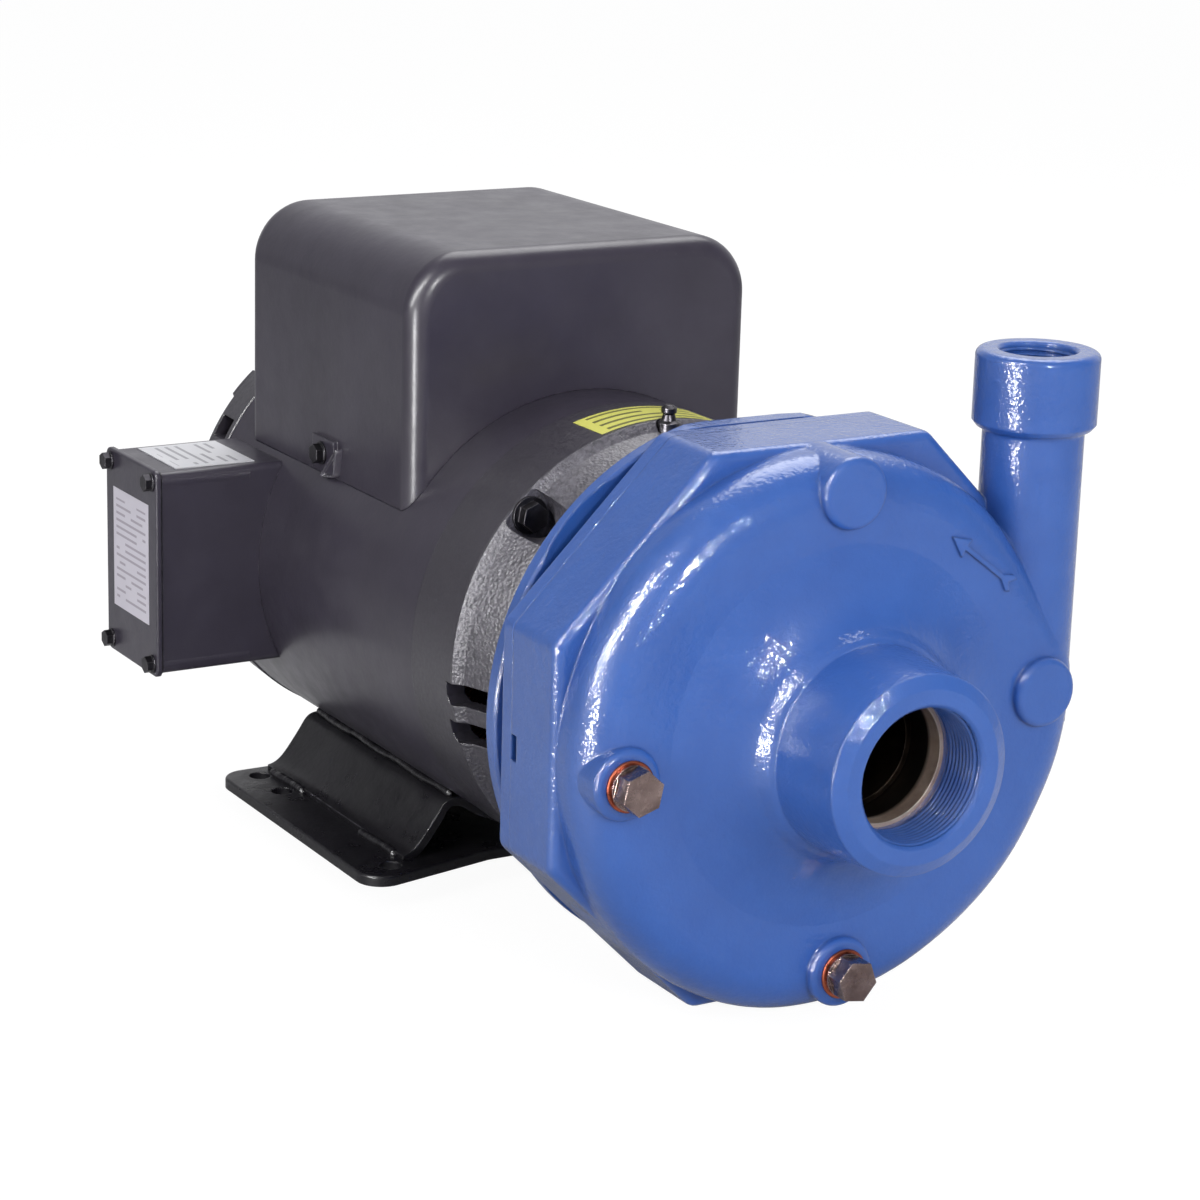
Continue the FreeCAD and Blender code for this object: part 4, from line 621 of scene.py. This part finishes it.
def bead(name, x, z, y_start, y_end, radius):
    """Weld bead along y: a lumpy, slightly wandering tube with overlapping scallops."""
    start = Vector((x, y_start, z))
    run = Vector((x, y_end, z)) - start
    length = run.length
    count = int(length / BEAD_STEP)
    side, other = perpendiculars(run.normalized())
    bm = bmesh.new()
    rows = []
    for i in range(count + 1):
        t = i / count
        along = t * length
        scallop = (along / BEAD_RIPPLE) % 1.0
        # both ends taper over about three sections
        fade = min(1.0, t * count / 3.0 + 0.15, (1 - t) * count / 3.0 + 0.15)
        r = radius * fade * (0.86 + 0.16 * math.sqrt(scallop)
                             + 0.07 * math.sin(along * 310.0)
                             + 0.05 * math.sin(along * 811.0))
        wander = (side * (0.0004 * math.sin(along * 150.0))
                  + other * (0.0003 * math.sin(along * 97.0 + 1.0)))
        row = []
        for j in range(BEAD_SIDES):
            angle = 2 * math.pi * j / BEAD_SIDES
            around = side * math.cos(angle) + other * math.sin(angle)
            row.append(bm.verts.new(start + run * t + wander + around * r))
        rows.append(row)
    capped_tube(bm, rows)
    piece(name, bm, materials["base_enamel"])


def base_welds():
    """On each side, one bead high on the saddle and two short ones on the base plate."""
    saddle_lo, saddle_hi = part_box("base_saddle")
    front, rear = saddle_lo.y, saddle_hi.y
    plate_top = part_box("motor_base")[1].z
    inset, reach = 0.006, 0.042      # plate beads' ends, from the saddle's ends
    plate_runs = ((front + inset, front + reach), (rear - reach, rear - inset))
    for side_name, side in (("left", -1), ("right", 1)):
        bead("saddle_weld_" + side_name, x=side * 0.0616, z=SHAFT_Z - 0.0822,
             y_start=front + 0.002, y_end=rear - 0.002, radius=0.0019)
        for k, (y_start, y_end) in enumerate(plate_runs):
            bead("plate_weld_%s_%d" % (side_name, k), x=side * 0.0875, z=plate_top + 0.0006,
                 y_start=y_start, y_end=y_end, radius=0.0021)


base_welds()


# ------------------------------------------------------------------ lights
def area(name, location, target, size, power, length=None, along=None, seen="all"):
    """Area light aimed at target, hidden from the camera.

    along sets the direction of its length. seen="diffuse" keeps it out of reflections,
    and seen="glossy" shows it in reflections only."""
    light = bpy.data.lights.new(name, "AREA")
    light.shape = "RECTANGLE" if length else "SQUARE"
    light.size = size
    if length:
        light.size_y = length
    light.energy = power
    obj = bpy.data.objects.new(name, light)
    obj.visible_camera = False
    obj.location = location
    obj.rotation_mode = "QUATERNION"
    if along:
        z = (Vector(location) - Vector(target)).normalized()
        y = Vector(along) - z * Vector(along).dot(z)
        y.normalize()
        turn = Matrix((y.cross(z), y, z)).transposed().to_quaternion()
    else:
        turn = (Vector(target) - Vector(location)).to_track_quat("-Z", "Y")
    obj.rotation_quaternion = turn
    scene.collection.objects.link(obj)
    if seen == "diffuse":
        obj.visible_glossy = False
    elif seen == "glossy":
        obj.visible_diffuse = False


def build_lights():
    """Most lights are split: a broad one lights the surfaces, a narrow one shines in them."""
    strip = {"target": (0.0, -0.27, 0.15), "along": (0.61, -0.52, 0.77), "length": 1.5}
    area("strip", (-1.50, -0.44, 1.05), size=0.30, power=12, seen="diffuse", **strip)
    area("strip_shine", (-1.46, -0.43, 1.02), size=0.045, power=52, seen="glossy", **strip)
    key_target = (0.0, -0.28, 0.12)
    area("key", (-0.50, -2.05, 0.95), key_target, size=0.5, power=19, seen="diffuse")
    area("key_shine", (-0.30, -2.05, 1.02), key_target, size=0.06, power=26, seen="glossy")
    area("edge_shine", (-0.80, -0.47, 0.10), (-0.08, -0.08, 0.20), size=0.13, length=0.20,
         power=6, seen="glossy")
    area("low_left", (-1.45, -1.15, 0.25), (0.0, -0.25, 0.06), size=0.4, power=3.5,
         seen="diffuse")
    area("top", (0.6, 0.5, 1.7), (0, 0.0, 0.15), size=1.3, length=1.2, power=21)
    area("fill", (0.8, -1.9, 0.7), (0.0, -0.10, 0.12), size=1.3, power=15, seen="diffuse")


build_lights()

# ------------------------------------------------------------------ floor
FLOOR_SIZE = 12.0
FLOOR_CELLS = 24


def floor_material():
    """Pale floor that the camera sees as a light table, leaving only a breath of shadow."""
    m = Mat("floor_pale")
    m.set(color=m.mix(m.mottle(3, detail=2), (0.50, 0.50, 0.51), (0.53, 0.53, 0.535)),
          rough=0.8, spec=0.1)
    camera_ray = m.camera_ray()
    glow = m.node("Emission")
    m.put(glow.inputs["Color"], (1, 1, 1))
    m.put(glow.inputs["Strength"], 0.955)
    shaded = m.node("BsdfDiffuse")
    m.put(shaded.inputs["Color"], (0.09, 0.09, 0.09))
    table = m.node("AddShader")
    m.put(table.inputs[0], glow.outputs[0])
    m.put(table.inputs[1], shaded.outputs[0])
    m.put(m.surface, m.mix_shader(camera_ray, m.bsdf.outputs[0], table.outputs[0]))
    return m.material


def build_floor():
    z = min(-0.0122, casing_lo.z - 0.0006)
    places = [(i / FLOOR_CELLS - 0.5) * FLOOR_SIZE for i in range(FLOOR_CELLS + 1)]
    bm = bmesh.new()
    grid_faces(bm, [[bm.verts.new((x, y, z)) for x in places] for y in places])
    floor = mesh_object("floor", bm)
    floor.data.materials.append(floor_material())


build_floor()


# ------------------------------------------------------------------ world
def build_world():
    """White to the camera; to everything else a grey room, brighter towards +x +y."""
    world = bpy.data.worlds.new("studio")
    scene.world = world
    world.use_nodes = True
    w = Nodes(world.node_tree, "Generated")
    output = w.node("OutputWorld")
    camera_ray = w.camera_ray()
    backdrop = w.node("Background")
    w.put(backdrop.inputs["Color"], (1, 1, 1))
    w.put(backdrop.inputs["Strength"], 1.0)
    room = w.node("Background")
    by_height = w.node("ValToRGB")
    stops = by_height.color_ramp.elements
    stops[0].color = (0.38, 0.38, 0.40, 1)
    stops[1].color = (0.45, 0.45, 0.47, 1)
    stops.new(0.5).color = (0.26, 0.26, 0.28, 1)
    w.put(by_height.inputs[0], w.sep()["Z"])
    behind = w.ramp(w.dot(w.coords, (0.62, 0.78, 0.0)), over=(0.25, 0.95), smooth=True)
    w.put(room.inputs["Color"], w.mix(behind, by_height.outputs[0], (1.0, 1.0, 1.03)))
    w.put(room.inputs["Strength"], 0.75)
    w.put(output.inputs[0], w.mix_shader(camera_ray, room.outputs[0], backdrop.outputs[0]))


build_world()

# ------------------------------------------------------------------ camera
CAMERA_PLACE = (-0.733495, -1.314948, 0.520804)
CAMERA_AZIMUTH = math.radians(-30.87)       # from -y, negative towards -x
CAMERA_ELEVATION = math.radians(15.558)
CAMERA_ROLL = math.radians(1.697)
SENSOR_MM = 36.0
LENS_MM = 98.676


def build_camera():
    data = bpy.data.cameras.new("camera")
    camera = bpy.data.objects.new("camera", data)
    scene.collection.objects.link(camera)
    scene.camera = camera
    back = Vector((math.sin(CAMERA_AZIMUTH) * math.cos(CAMERA_ELEVATION),
                   -math.cos(CAMERA_AZIMUTH) * math.cos(CAMERA_ELEVATION),
                   math.sin(CAMERA_ELEVATION)))
    level = (-back).cross(Vector((0, 0, 1))).normalized()
    upright = level.cross(-back)
    right = math.cos(CAMERA_ROLL) * level + math.sin(CAMERA_ROLL) * upright
    up = -math.sin(CAMERA_ROLL) * level + math.cos(CAMERA_ROLL) * upright
    turn = Matrix((right, up, back)).transposed().to_4x4()
    camera.matrix_world = Matrix.Translation(Vector(CAMERA_PLACE)) @ turn
    data.sensor_width = SENSOR_MM
    data.lens = LENS_MM
    data.clip_start = 0.05
    data.clip_end = 50.0


build_camera()
scene.view_settings.view_transform = "Standard"
scene.view_settings.look = "None"
